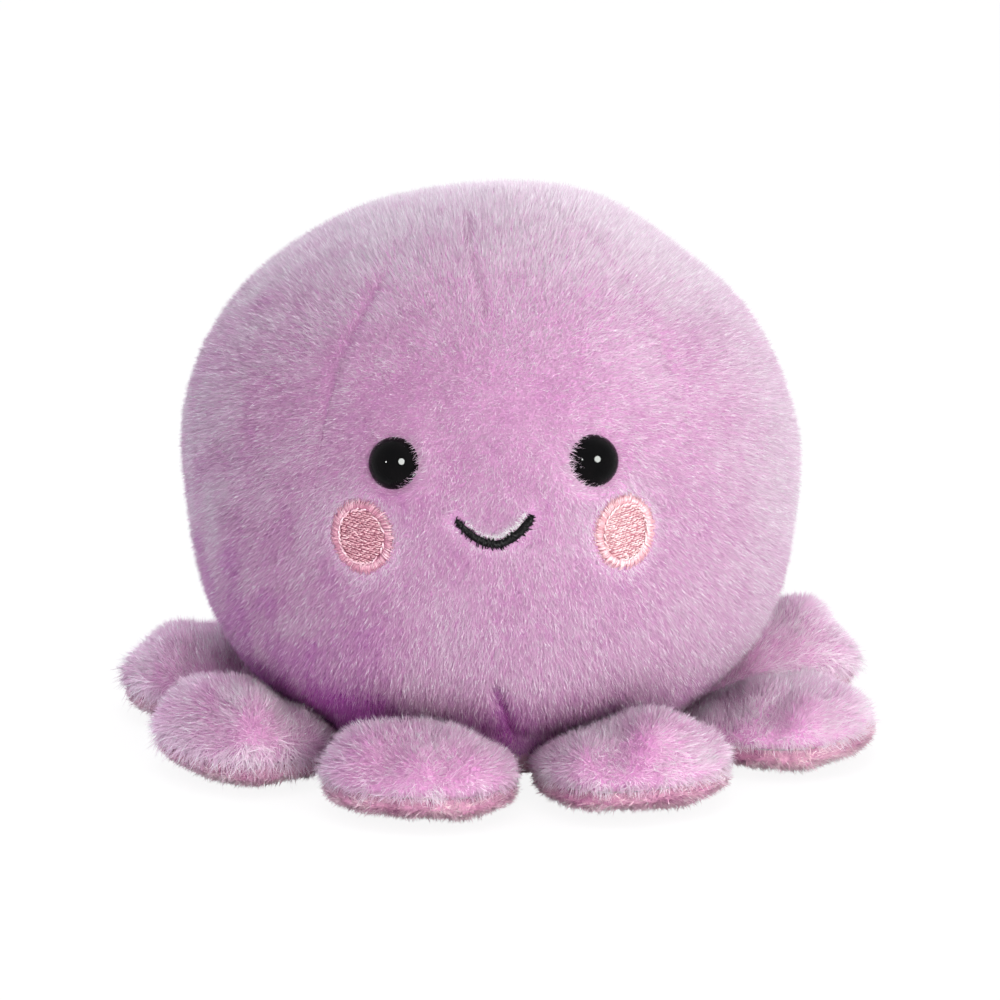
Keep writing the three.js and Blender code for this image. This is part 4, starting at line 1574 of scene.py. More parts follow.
    def field_bed(self) -> Solid:
        """Makes the crowned bed under the field's stitches.

        Returns:
            Its points and faces.
        """
        turns = np.arange(self.field_turns) * math.tau / self.field_turns
        share, turn = np.meshgrid(np.linspace(0.001, 1, self.field_rings), turns, indexing="ij")
        points = self.field_point(share * np.cos(turn), share * np.sin(turn), -0.16 * MM)
        under = self.field_point(share * np.cos(turn), share * np.sin(turn), -0.6 * MM)
        top = grid_faces(*turn.shape, closed_columns=True)
        count = turn.size
        wall = np.arange(self.field_turns) + (self.field_rings - 1) * self.field_turns
        after = np.roll(wall, -1)
        side = np.stack([wall, after, after + count, wall + count], -1)
        faces = [top[:, ::-1], top + count, side[:, ::-1]]
        return np.concatenate([points.reshape(-1, 3), under.reshape(-1, 3)]), faces

    def field_point(self, sideways: Array, upwards: Array, lift: Array | float) -> Array:
        """Finds points of the field.

        Args:
            sideways: Shares of its half width.
            upwards: Shares of its half height.
            lift: How far above its crowned surface.

        Returns:
            The points.
        """
        inset = self.border + 0.05 * MM
        share = np.clip(np.hypot(sideways, upwards), 0, 1)
        crown = self.lift + self.height * (0.5 + 0.5 * np.sqrt(1 - 0.9 * share**2))
        spot = self.face.cheek_spot(self.side)
        return self.face.form.near(spot, sideways * (self.face.cheek_half_width - inset),
                                   upwards * (self.face.cheek_half_height - inset), crown + lift)

    def field_paths(self, rng: np.random.Generator) -> Threads:
        """Lays rows of short stitches, each row shifted against the one below it.

        Args:
            rng: The source of their unevenness.

        Returns:
            The stitches.
        """
        half = np.array([self.face.cheek_half_width, self.face.cheek_half_height]) - self.border
        turn = self.side.value * self.row_turn
        starts, ends = [], []
        rows = int(half[1] * 1.1 / self.row_pitch)
        for row in range(-rows, rows + 1):
            level = row * self.row_pitch + 0.05 * MM * math.sin(2.1 * row)
            offset = (row * 0.37 % 1.0) * self.stitch
            for number in range(-self.row_stitches, self.row_stitches + 1):
                left = number * self.stitch + offset + rng.normal() * 0.1 * MM
                starts.append((left, level + rng.normal() * 0.06 * MM))
                ends.append((left + self.stitch * rng.uniform(0.92, 1.08), level + rng.normal() * 0.08 * MM))
        spin = np.array([[math.cos(turn), math.sin(turn)], [-math.sin(turn), math.cos(turn)]])
        start, end = np.array(starts) @ spin, np.array(ends) @ spin
        share = np.linspace(0, 1, self.stitch_steps)
        flat = (start[:, None] + (end - start)[:, None] * share[:, None]) / half
        reach = np.linalg.norm(flat, axis=-1)
        kept = (reach < 1.0).sum(1) >= 4
        flat, reach = flat[kept], reach[kept]
        flat /= np.maximum(reach, 1)[..., None]
        dip = self.stitch_dip * from_middle(share) ** 2
        lift = -dip[None] * np.ones((len(flat), 1)) + 0.03 * MM * rng.normal(size=(len(flat), 1))
        points = self.field_point(flat[..., 0], flat[..., 1], lift)
        hints = self.field_point(flat[..., 0], flat[..., 1], lift + MM) - points
        taper = 1 - 0.45 * from_middle(share) ** 3
        radii = self.stitch_radius * rng.uniform(0.85, 1.1, (len(flat), 1)) * taper
        return Threads(points, hints, radii, palest=0.95, deepest=0.4)


@dataclass
class Mouth:
    """The stitched smile: threads across its arc, their ends uneven."""

    face: Face
    finish: ThreadFinish
    fringe_highlight_finish: PlushFinish
    fringe: Pile = Pile(length=1.5 * MM, width=0.15 * MM, per_square_mm=52, lean=math.radians(38),
                        swirl=0.1, sway=0.35, length_spread=0.35)
    short_fringe: Pile = Pile(length=1.3 * MM, width=0.13 * MM, per_square_mm=26, lean=math.radians(55),
                              swirl=0.1, sway=0.3)
    threads: int = 104
    thread_radius: float = 0.105 * MM
    lift: float = 0.25 * MM
    height: float = 0.75 * MM
    end_fullness: float = 12.0
    end_thickness: float = 0.2
    steps: int = 8
    bed_rows: int = 40
    bed_sides: int = 10

    def half_thickness(self, share: Array) -> Array:
        """Half the smile's thickness along its arc, a little less on the left."""
        ends = np.sqrt(np.maximum(1 - np.abs(share) ** self.end_fullness, self.end_thickness))
        return self.face.mouth_half_thickness * (0.86 + 0.1 * share) * ends

    def over(self, share: Array, across: Array, lift: Array) -> Array:
        """Points so far across the smile's arc, lifted off the skin."""
        flat = self.face.mouth_arc(share) + self.face.mouth_across(share) * across[..., None]
        return self.face.form.near(self.face.mouth_spot, flat[..., 0], flat[..., 1], lift)

    def build(self) -> None:
        """Builds the bed, the threads over it and the pale fringe on either side, whose near white is a
        painted highlight.
        """
        rng = np.random.default_rng(91)
        smile = thread_piece("smile", [self.bed(), self.paths(rng)], self.finish, rng)
        place(smile, "body", Slot.MOUTH, "mouth")
        material = self.fringe_highlight_finish.pile()
        for name, pile, first, last, low, high, seed in (
                ("smile_fringe_above", self.fringe, -0.85, 0.97, 0.4, 1.1, 92),
                ("smile_fringe_below", self.short_fringe, -0.97, 0.2, -1.3, -0.9, 94)):
            grid = self.fringe_grid(first, last, low, high)
            place(pile.grow(name, grid, material, seed), "body", Slot.LILAC)

    def fringe_grid(self, first: float, last: float, low: float, high: float) -> SkinGrid:
        """The strip of skin along one edge of the smile that carries its pale fringe, a painted highlight.

        Args:
            first: The share of the arc where the strip starts.
            last: The share where it ends.
            low: Its lower edge, in half thicknesses from the middle line.
            high: Its upper edge, in the same.

        Returns:
            The strip, with its pile combed away from the smile.
        """
        share, level = np.meshgrid(np.linspace(first, last, 60), np.linspace(low, high, 6))
        points = self.over(share, level * self.face.mouth_half_thickness, 0 * share)
        further = self.over(share, (level + np.sign(low)) * self.face.mouth_half_thickness, 0 * share)
        growth = 0.6 + 0.4 * smooth_share(share, -0.6, 0.1) * (1 - 0.6 * smooth_share(share, 0.5, 1.0))
        # The fringe is fully pale: painted highlight.
        return SkinGrid(points, further - points, growth, np.ones_like(share), np.zeros_like(share))

    def bed(self) -> Solid:
        """Makes the raised bed under the threads.

        Returns:
            Its points and faces.
        """
        bends = np.arange(self.bed_sides) * math.tau / self.bed_sides
        share, bend = np.meshgrid(np.linspace(-0.99, 0.99, self.bed_rows), bends, indexing="ij")
        half = self.half_thickness(share) * 0.9
        lift = self.lift + 0.25 * MM + 0.35 * MM * np.sin(bend)
        points = self.over(share, half * np.cos(bend), lift)
        faces = grid_faces(*share.shape, closed_columns=True)
        end = np.arange(self.bed_sides)[None, :]
        return points.reshape(-1, 3), [faces, end, end[:, ::-1] + (self.bed_rows - 1) * self.bed_sides]

    def paths(self, rng: np.random.Generator) -> Threads:
        """Lays the threads, from below the arc to above it.

        Args:
            rng: The source of their unevenness.

        Returns:
            The threads.
        """
        count = self.threads
        middle = np.linspace(-1, 1, count)[:, None] * (1 - 0.5 / count)
        middle = middle + rng.normal(size=(count, 1)) * 0.2 / count
        step = np.linspace(0, 1, self.steps)[None, :]
        low = -self.half_thickness(middle) - (0.8 * rng.random((count, 1)) ** 2 - 0.12) * MM
        high = self.half_thickness(middle) + (0.75 * rng.random((count, 1)) ** 2 - 0.15) * MM
        across = low + (high - low) * step
        share = middle + (0.05 * rng.normal(size=(count, 1)) - 0.05) * (step - 0.5)
        share = np.clip(share, -1.02, 1.02)
        lift = self.lift + self.height * np.sin(step * math.pi) ** 0.7 * np.ones((count, 1))
        points = self.over(share, across, lift)
        hints = self.over(share, across, lift + MM) - points
        taper = 1 - 0.8 * from_middle(step) ** 4
        return Threads(points, hints, self.thread_radius * rng.uniform(0.85, 1.2, (count, 1)) * taper)


@dataclass
class Base:
    """The underside that closes the head and that the toy sits on."""

    form: HeadForm
    plush: PlushFinish
    flat_share: float = 0.8
    lift: float = 0.5 * MM
    rim_height: float = 5.6 * MM
    columns: int = 120
    flat_rows: int = 26
    curve_rows: int = 12
    thickness: float = 0.8 * MM
    fill: float = 0.7
    pile: Pile = Pile(length=1.1 * MM, width=0.24 * MM, per_square_mm=4.5, lean=math.radians(78),
                      sink=0.1 * MM)

    def build(self) -> None:
        """Builds the cloth and its flattened pile."""
        longitude = np.linspace(0, math.tau, self.columns + 1)
        flat = self.form.ring_distance * self.flat_share
        rings = [(share * flat, None) for share in np.linspace(0, 1, self.flat_rows)[:-1]]
        rings += [(flat, turn) for turn in np.linspace(0, math.pi / 2, self.curve_rows)]
        rows = []
        for radius, turn in rings:
            out, height = np.full_like(longitude, radius), self.lift
            if turn is not None:
                out = radius + (self.form.ring_radius(longitude) - radius) * math.sin(turn)
                height = self.lift + (self.rim_height - self.lift) * (1 - math.cos(turn))
            rows.append(around(longitude, out, height))
        points = np.stack(rows)
        flow = around(longitude, np.ones_like(longitude), 0.0)[None] * np.ones((len(rows), 1, 1))
        ones = np.ones(points.shape[:2])
        pale = np.clip(0.25 + 0.25 * SoftNoise(9 * MM, seed=41)(points), 0, 1)
        grid = SkinGrid(points, flow, ones, pale, 0 * ones)
        cloth = grid_piece("base_cloth", grid, self.plush.cloth(), self.thickness)
        place(cloth, "body", Slot.PINK, "base_panel")
        hair = self.pile.grow("base_pile", grid, self.plush.pile(), 401, floor=0.02 * MM)
        place(hair, "body", Slot.PINK)


@dataclass(frozen=True)
class ArmPlace:
    """Where one arm is sewn on, in degrees from the front, and how it differs from the others.

    Attributes:
        reach_share: Its reach as a share of the usual one.
        crown_share: Its height as a share of the usual one.
        skirt: How far the top's pile hangs over the rim, where the underside's pile stays short.
        painted_light: How much painted light it gets: it is paler, and the painted shade at its root is
            weaker.
    """

    name: str
    turn: float
    reach_share: float
    crown_share: float
    skirt: float
    painted_light: float = 0.0


@dataclass(frozen=True)
class ArmForm:
    """The outline of an arm, from its sewn root to its round tip."""

    root_distance: float = 34 * MM
    root_height: float = 4.6 * MM
    root_radius: float = 1.0 * MM
    reach: float = 28.5 * MM
    width: float = 31.4 * MM
    crown: float = 8.6 * MM
    tip_rise: float = 1.2 * MM
    floor_gap: float = 0.3 * MM
    root_width_share: float = 0.7
    widest_share: float = 0.55
    belly_share: float = 0.5
    heel_share: float = 0.25
    tip_fullness: float = 2.2
    swell_skew: float = 1.357
    swell_fullness: float = 0.7
    belly_flatness: float = 0.6
    seam: float = 0.15 * MM
    tuck: float = 0.7 * MM
    tuck_height: float = 1.1 * MM
    lump: float = 1.1 * MM
    lump_size: float = 12 * MM

    def half_width(self, station: Array, inset: float) -> Array:
        """Works out half the arm's width.

        Args:
            station: Where along the arm, from its root, 0, to its tip, 1.
            inset: How far inside the skin.

        Returns:
            Half the width there.
        """
        wide, narrow = self.width / 2 - inset, self.width / 2 * self.root_width_share - inset
        inner = narrow + (wide - narrow) * np.sin(np.minimum(station / self.widest_share, 1) * math.pi / 2)
        share = np.maximum(station - self.widest_share, 0) / (1 - self.widest_share)
        outer = wide * np.maximum(1 - share**self.tip_fullness, 0) ** (1 / self.tip_fullness)
        return np.where(station <= self.widest_share, inner, outer)

    def points(self, place_of: ArmPlace, cover: Cover, station: Array, turn: Array, inset: float) -> Array:
        """Points of a cover: X outwards from the root line, Y across, Z up from it.

        Args:
            place_of: The arm's own shares of reach and crown.
            cover: Which cover.
            station: Where along the arm, below 0 for the rounding at its root.
            turn: Where across it, from -90 to 90 degrees, in radians.
            inset: How far inside the skin.

        Returns:
            The points, in metres.
        """
        along = np.maximum(station, 0)
        level = np.maximum(np.cos(turn), 0)
        edge = self.tip_rise * along
        if cover is Cover.TOP:
            swell = np.maximum(np.sin(math.pi * along**self.swell_skew), 0) ** self.swell_fullness
            height = (self.root_radius - self.seam) * (1 - along)
            height = (height + (self.crown * place_of.crown_share - inset) * swell) * level
            lift = edge + self.seam + height
        else:
            deepest = edge + self.root_height - self.floor_gap - inset - self.seam
            outer = np.maximum(along - self.belly_share, 0) / (1 - self.belly_share)
            inner = np.sin(np.minimum(along / self.heel_share, 1) * math.pi / 2)
            root = self.root_radius - self.seam
            near = root + (deepest - root) * inner
            far = deepest * np.maximum(1 - outer**self.tip_fullness, 0) ** (1 / self.tip_fullness)
            height = np.where(along < self.belly_share, near, far) * level**self.belly_flatness
            lift = edge - self.seam - height
        bend = np.clip(-station, 0, 1) * math.pi / 2
        out = along * (self.reach * place_of.reach_share - inset) - self.root_radius * level * np.sin(bend)
        seam = cover.value * self.seam
        lift = np.where(station < 0, seam + (lift - seam) * np.cos(bend), lift)
        across = self.half_width(along, inset) * np.sin(turn)
        pull = self.tuck * np.exp(-((height / self.tuck_height) ** 2)) * smooth_share(along, 0.05, 0.3)
        middle = 0.5 * self.reach * place_of.reach_share
        away = unit(np.stack([np.maximum(out - middle, 0), across], -1))
        return np.stack([out - pull * away[..., 0], across - pull * away[..., 1], lift], -1)


@dataclass
class Arm:
    """One stuffed arm, sewn from a lilac top and a pink underside."""

    place_of: ArmPlace
    turn: float
    number: int
    form: ArmForm
    materials: dict[str, Material]
    columns: int = 44
    root_rows: int = 4
    flare_rows: int = 24
    tip_rows: int = 26
    thickness: float = 0.7 * MM
    fill: float = 0.75
    filling_inset: float = 1.75 * MM
    filling_rows: int = 18
    filling_columns: int = 17
    bend_start: float = 33.4 * MM
    bend_end: float = 41 * MM
    inset: float = 0.55 * MM
    lowest: float = 0.25 * MM
    pile_floor: float = 0.05 * MM
    lump_starts: Pair = (0.1, 0.35)
    lump_ends: Pair = (0.85, 1)
    low_lump_share: float = 0.5
    rim_turns: Pair = (0.84, 1.0)
    rim_starts: Pair = (0.15, 0.4)
    rim_tip: Pair = (0.86, 1.0)
    patch_size: float = 8 * MM
    ragged_size: float = 3.2 * MM
    top_pile: Pile = Pile(length=1.85 * MM, width=0.14 * MM, per_square_mm=14, lean=math.radians(25),
                          sway=0.75)
    low_pile: Pile = Pile(length=1.4 * MM, width=0.19 * MM, per_square_mm=11, lean=math.radians(60),
                          lean_spread=math.radians(12), swirl=0.9, swirl_size=3.5 * MM, mottle=0.6,
                          mottle_size=1.4 * MM)

    def build(self) -> None:
        """Builds both covers and the filling."""
        name = "arm_" + self.place_of.name
        for cover, slot, pile, node in ((Cover.TOP, Slot.LILAC, self.top_pile, "_top"),
                                        (Cover.UNDERSIDE, Slot.PINK, self.low_pile, "_underside")):
            grid = self.cover(cover)
            cloth, hair = self.materials[slot.value + "_cloth"], self.materials[slot.value + "_pile"]
            skin = grid_piece(name + node + "_cloth", grid, cloth, self.thickness)
            seed = 500 + 10 * self.number + cover.value
            grown = pile.grow(name + node + "_pile", grid, hair, seed, floor=self.pile_floor)
            self.sew(skin, slot, name + node)
            self.sew(grown, slot)
        filling = self.filling(name + "_filling")
        self.sew(filling, Slot.STUFFING, name + "_stuffing")

    def sew(self, piece: Piece, slot: Slot, *nodes: str) -> None:
        """Bakes a piece's place into its mesh and hides the solids that it stands for.

        Args:
            piece: The piece.
            slot: Its material slot. Not used.
            *nodes: The solids that it stands for.
        """
        reaches = (self.bend_start, self.bend_end)
        start, end = (around(self.turn, reach, self.form.root_height) for reach in reaches)
        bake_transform(piece)
        if nodes:
            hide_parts(*nodes)
        log.info("%s bends with arm_%s: %d faces", piece.name, self.place_of.name, len(piece.data.polygons))

    @property
    def out(self) -> Array:
        """The direction in which the arm points."""
        return around(self.turn, 1.0, 0.0)

    @property
    def side(self) -> Array:
        """The direction across the arm."""
        return np.array([math.cos(self.turn), math.sin(self.turn), 0.0])

    def stand(self, points: Array) -> Array:
        """Turns and moves points of the arm to its place round the head."""
        origin = around(self.turn, self.form.root_distance, self.form.root_height)
        return origin + points[..., :1] * self.out + points[..., 1:2] * self.side + points[..., 2:] * UP

    def stations(self, cover: Cover) -> tuple[Array, Array]:
        """Spaces the points of a cover.

        Args:
            cover: Which cover.

        Returns:
            Where across the arm and where along it each point lies.
        """
        flare = np.linspace(0, self.form.widest_share, self.flare_rows)
        tip = np.linspace(0, math.pi / 2, self.tip_rows)[1:]
        rest = self.form.widest_share + (1 - self.form.widest_share) * np.sin(tip)
        stations = np.concatenate([np.linspace(-1, 0, self.root_rows, endpoint=False), flare, rest])
        turns = np.linspace(1, -1, self.columns) * cover.value
        turns = (turns + np.sin(turns * math.pi / 2)) / 2 * math.pi / 2
        return tuple(np.meshgrid(turns, stations))

    def cover(self, cover: Cover) -> SkinGrid:
        """Makes one cover's lumpy skin, and grooms its pile apart at the rim. Its paleness carries painted
        light, and painted shade at the root and under the top's rim.

        Args:
            cover: Which cover.

        Returns:
            The cover's grid.
        """
        turn, station = self.stations(cover)
        points = self.stand(self.form.points(self.place_of, cover, station, turn, self.inset))
        level = np.maximum(np.cos(turn), 0) * smooth_share(station, *self.lump_starts)
        level = level * (1 - smooth_share(station, *self.lump_ends))
        share = 1.0 if cover is Cover.TOP else self.low_lump_share
        lump = self.form.lump * share * level * SoftNoise(self.form.lump_size, seed=60)(points)
        points = points + grid_normals(points) * lump[..., None]
        points[..., 2] = np.maximum(points[..., 2], self.lowest)
        rim = smooth_share(np.abs(np.sin(turn)), *self.rim_turns) * smooth_share(station, *self.rim_starts)
        rim = np.maximum(rim, smooth_share(station, *self.rim_tip))
        flow = self.out + 0.75 * np.sin(turn)[..., None] * self.side - 0.35 * UP
        growth = 0.5 + 0.5 * smooth_share(station, -0.2, 0.3)
        painted_light, skirt = self.place_of.painted_light, self.place_of.skirt
        # The arm's painted light makes it paler; near the head its pile is painted deeper, as painted shade.
        pale = 0.32 + 0.3 * painted_light + 0.24 * SoftNoise(self.patch_size, seed=61)(points)
        pale = pale - (0.9 - painted_light) * (1 - smooth_share(station, -0.1, 0.34))
        ragged = SoftNoise(self.ragged_size, seed=63)(points)
        if cover is Cover.TOP:
            flow = flow - (2.2 * skirt + 0.3) * rim[..., None] * UP
            growth = growth * (1 + (0.9 * skirt - 0.1 + 0.5 * ragged) * rim)
            # The top's rim is paler: pale hair ends, with painted sheen.
            pale = pale + (0.2 + 0.3 * ragged) * rim
            lay = (0.1 + 0.5 * skirt) * rim
        else:
            flow = flow + ((1.6 - 1.6 * skirt) * rim)[..., None] * UP
            growth = growth * (1 - 0.35 * skirt * rim)
            # Painted shade on the underside's rim, under the top's overhang.
            pale = pale + (0.35 * ragged - 0.4 - 0.5 * skirt) * rim
            lay = -0.3 * (1 - skirt) * rim
        return SkinGrid(points, flow, growth, pale, lay)

    def filling(self, name: str) -> Piece:
        """Makes the arm's own filling, a little lumpy.

        Args:
            name: Its name.

        Returns:
            The filling.
        """
        stations = np.linspace(0.14, 0.94, self.filling_rows)
        turns = np.linspace(-1, 1, self.filling_columns) * math.pi / 2
        turn, station = np.meshgrid(turns, stations)
        inset = self.filling_inset
        top, low = (self.form.points(self.place_of, cover, station, turn, inset) for cover in Cover)
        loop = np.concatenate([top, low[:, -2:0:-1]], 1)
        points = self.stand(loop)
        middle = points.mean(1, keepdims=True)
        points = points + (points - middle) * (0.035 * SoftNoise(5 * MM, seed=77)(points) - 0.02)[..., None]
        rows, columns = points.shape[:2]
        faces = grid_faces(rows, columns, closed_columns=True)
        end = np.arange(columns)[None, :]
        faces = [faces[:, ::-1], end[:, ::-1], end + (rows - 1) * columns]
        return new_piece(name, points.reshape(-1, 3), faces, self.materials["stuffing"])


@dataclass
class Inside:
    """What the head holds: its filling, and the bag of pellets on the base."""

    face: Face
    stuffing: MouldedFinish
    bag: MouldedFinish
    pellets: MouldedFinish
    thread: ThreadFinish
    skin: float = 1.3 * MM
    crease: float = 1.3 * MM
    flat_radius: float = 26.16 * MM
    rim_height: float = 5.6 * MM
    bag_radius: float = 21 * MM
    bag_height: float = 12 * MM
    bag_foot_share: float = 0.7
    bag_cloth: float = 0.45 * MM
    bag_fill: float = 0.6
    bag_room: float = 0.3 * MM
    foot_rows: int = 8
    wrinkles: int = 24
    wrinkle_depth: float = 0.18 * MM
    wrinkle_radii: Pair = (5 * MM, 16 * MM)
    wrinkle_floor: float = 6 * MM
    slit_half: float = 6 * MM
    slit_stitches: int = 13
    stitch_steps: int = 9
    stitch_half: float = 1.1 * MM
    stitch_slant: float = 0.3 * MM
    stitch_lift: float = 0.12 * MM
    stitch_dip: float = 0.35 * MM
    stitch_radius: float = 0.13 * MM
    pellet_radius: float = 1.35 * MM
    pitch_share: float = 2.08
    layer_share: float = 0.83
    row_share: float = 0.866
    most_beads: int = 9
    washer_depth: float = 2.2 * MM
    washer_room: float = 2.1 * MM
    washer_radius: float = 6 * MM
    stem_radius: float = 2.3 * MM
    stem_depth: float = 10.4 * MM
    pocket_top: float = 2 * MM
    lump: float = 0.28 * MM
    lump_size: float = 7 * MM
    lump_sink: float = 0.3 * MM
    lump_radii: Pair = (28 * MM, 36 * MM)
    lump_heights: Pair = (20 * MM, 30 * MM)
    middle_height: float = 40 * MM
    fill: float = 0.85

    def build(self) -> None:
        """Builds all of it."""
        self.filling()
        self.bag_shell()
        self.beads()

    def bag_profile(self, grow: float) -> Array:
        """Draws the bag's outline, from the middle of its foot to the top.

        Args:
            grow: How far outside the bag.

        Returns:
            Radii and heights.
        """
        floor, height = self.skin - grow, self.bag_height + 2 * grow
        turns = np.linspace(-math.pi / 2, math.pi / 2, 29)
        radius = self.bag_radius + grow
        level = np.cos(turns)
        share = np.where(turns < 0, self.bag_foot_share + (1 - self.bag_foot_share) * level, level)
        line = np.stack([radius * share, floor + height / 2 * (1 + np.sin(turns))], -1)
        line[-1, 0] = 0
        inner = np.linspace(0, line[0, 0], self.foot_rows, endpoint=False)
        foot = np.stack([inner, np.full(self.foot_rows, floor)], -1)
        return np.concatenate([foot, line])

    def filling(self) -> None:
        """The head's filling, hollow over the bag and with a pocket for each eye."""
        form = self.face.form
        hollow = self.bag_profile(self.bag_room)[self.foot_rows:][::-1]
        edge = form.ring_distance - self.skin
        turns = np.linspace(0, math.pi / 2, 8)
        foot = np.stack([self.flat_radius + (edge - self.flat_radius) * np.sin(turns),
                         self.skin + (self.rim_height - self.skin) * (1 - np.cos(turns))], -1)
        radius, height = form.profile(form.even_tilts(70), -self.skin - self.crease)
        side = np.stack([np.maximum(radius, 0), height], -1)
        side[-1, 0] = 0
        points, faces = revolved(np.concatenate([hollow, foot, side]), 96)
        lumps = self.lump * SoftNoise(self.lump_size, seed=81)(points) - self.lump_sink
        away = unit(points - self.middle_height * UP)
        outer = smooth_share(np.linalg.norm(points[:, :2], axis=-1), *self.lump_radii)
        outer = np.maximum(outer, smooth_share(points[:, 2], *self.lump_heights))
        points = points + away * (lumps * outer)[:, None]
        piece = new_piece("head_filling", points, faces, self.stuffing.material())
        weld(piece)
        for side_of in Side:
            self.pocket(piece, side_of)
        place(piece, "body", Slot.STUFFING, "body_stuffing")

    def pocket(self, piece: Piece, side: Side) -> None:
        """Cuts the room for one eye's washer and stem out of the filling.

        Args:
            piece: The filling.
            side: Which eye.
        """
        spot, normal = self.face.form.facing(self.face.eye_spot(side))
        deep = self.washer_depth + self.washer_room
        line = [(0.0, -self.stem_depth), (self.stem_radius, -self.stem_depth), (self.stem_radius, -deep),
                (self.washer_radius, -deep), (self.washer_radius, self.pocket_top), (0.0, self.pocket_top)]
        points, faces = revolved(line, 32)
        cutter = new_piece("cutter", stood(points, spot, normal), faces, piece.data.materials[0])
        weld(cutter)
        cut = piece.modifiers.new("pocket", "BOOLEAN")
        cut.object, cut.operation, cut.solver = cutter, "DIFFERENCE", "EXACT"
        shaped = piece.evaluated_get(bpy.context.evaluated_depsgraph_get())
        mesh = bpy.data.meshes.new_from_object(shaped)
        piece.modifiers.clear()
        piece.data = mesh
        bpy.data.objects.remove(cutter)

    def bag_shell(self) -> None:
        """The calico bag, with its filling slit drawn together by stitches."""
        line = self.bag_profile(0.0)
        points, faces = revolved(line, 72)
        radius = np.linalg.norm(points[:, :2], axis=-1)
        turn = np.arctan2(points[:, 1], points[:, 0])
        wrinkle = self.wrinkle_depth * np.sin(self.wrinkles * turn + 3 * SoftNoise(9 * MM, seed=85)(points))
        upper = points[:, 2] > self.wrinkle_floor
        points[:, 2] -= np.abs(wrinkle) * smooth_share(radius, *self.wrinkle_radii) * upper
        bag = new_piece("pellet_bag_cloth", points, faces, self.bag.material())
        weld(bag)
        solid = bag.modifiers.new("thickness", "SOLIDIFY")
        solid.thickness, solid.offset = self.bag_cloth, -1
        place(bag, "body", Slot.BAG, "pellet_bag")
        rng = np.random.default_rng(86)
        centres = np.linspace(-self.slit_half, self.slit_half, self.slit_stitches)[:, None]
        share = np.linspace(-1, 1, self.stitch_steps)[None]
        across = share * self.stitch_half * np.ones_like(centres)
        along = centres + self.stitch_slant * share + 0.1 * MM * rng.normal(size=centres.shape)
        top = self.skin + self.bag_height
        height = top + self.stitch_lift - self.stitch_dip * share**4 * np.ones_like(centres)
        paths = np.stack([along, across, height], -1)
        threads = Threads(paths, np.broadcast_to(UP, paths.shape), np.full(across.shape, self.stitch_radius))
        place(thread_piece("bag_stitches", [threads], self.thread, rng), "body", Slot.BAG)

    def beads(self) -> None:
        """The pellets, packed in layers inside the bag."""
        rng = np.random.default_rng(87)
        shape = bmesh.new()
        bmesh.ops.create_icosphere(shape, subdivisions=2, radius=self.pellet_radius)
        ball = np.array([corner.co for corner in shape.verts])
        sides = np.array([[corner.index for corner in face.verts] for face in shape.faces])
        shape.free()
        line = self.bag_profile(-self.bag_cloth - self.bag_room - self.pellet_radius)[self.foot_rows:]
        pitch = self.pitch_share * self.pellet_radius
        rise = self.layer_share * pitch
        centres = []
        for layer in range(int((line[-1, 1] - line[0, 1]) / rise) + 1):
            height = line[0, 1] + layer * rise
            reach = np.interp(height, line[:, 1], line[:, 0])
            for row in range(-self.most_beads, self.most_beads + 1):
                for column in range(-self.most_beads, self.most_beads + 1):
                    spot = np.array([(column + 0.5 * (row % 2) + 0.25 * (layer % 2)) * pitch,
                                     (row + 0.33 * (layer % 2)) * pitch * self.row_share])
                    if np.hypot(*spot) < reach:
                        centres.append((*spot, height))
        centres = np.array(centres)
        squash = np.ones((len(centres), 1, 3))
        squash[..., 2] = rng.uniform(0.82, 0.98, (len(centres), 1))
        points = centres[:, None] + ball * squash
        faces = np.arange(len(centres))[:, None, None] * len(ball) + sides
        beads = new_piece("pellets", points.reshape(-1, 3), [faces.reshape(-1, 3)], self.pellets.material())
        place(beads, "body", Slot.PELLETS, "pellet_fill")


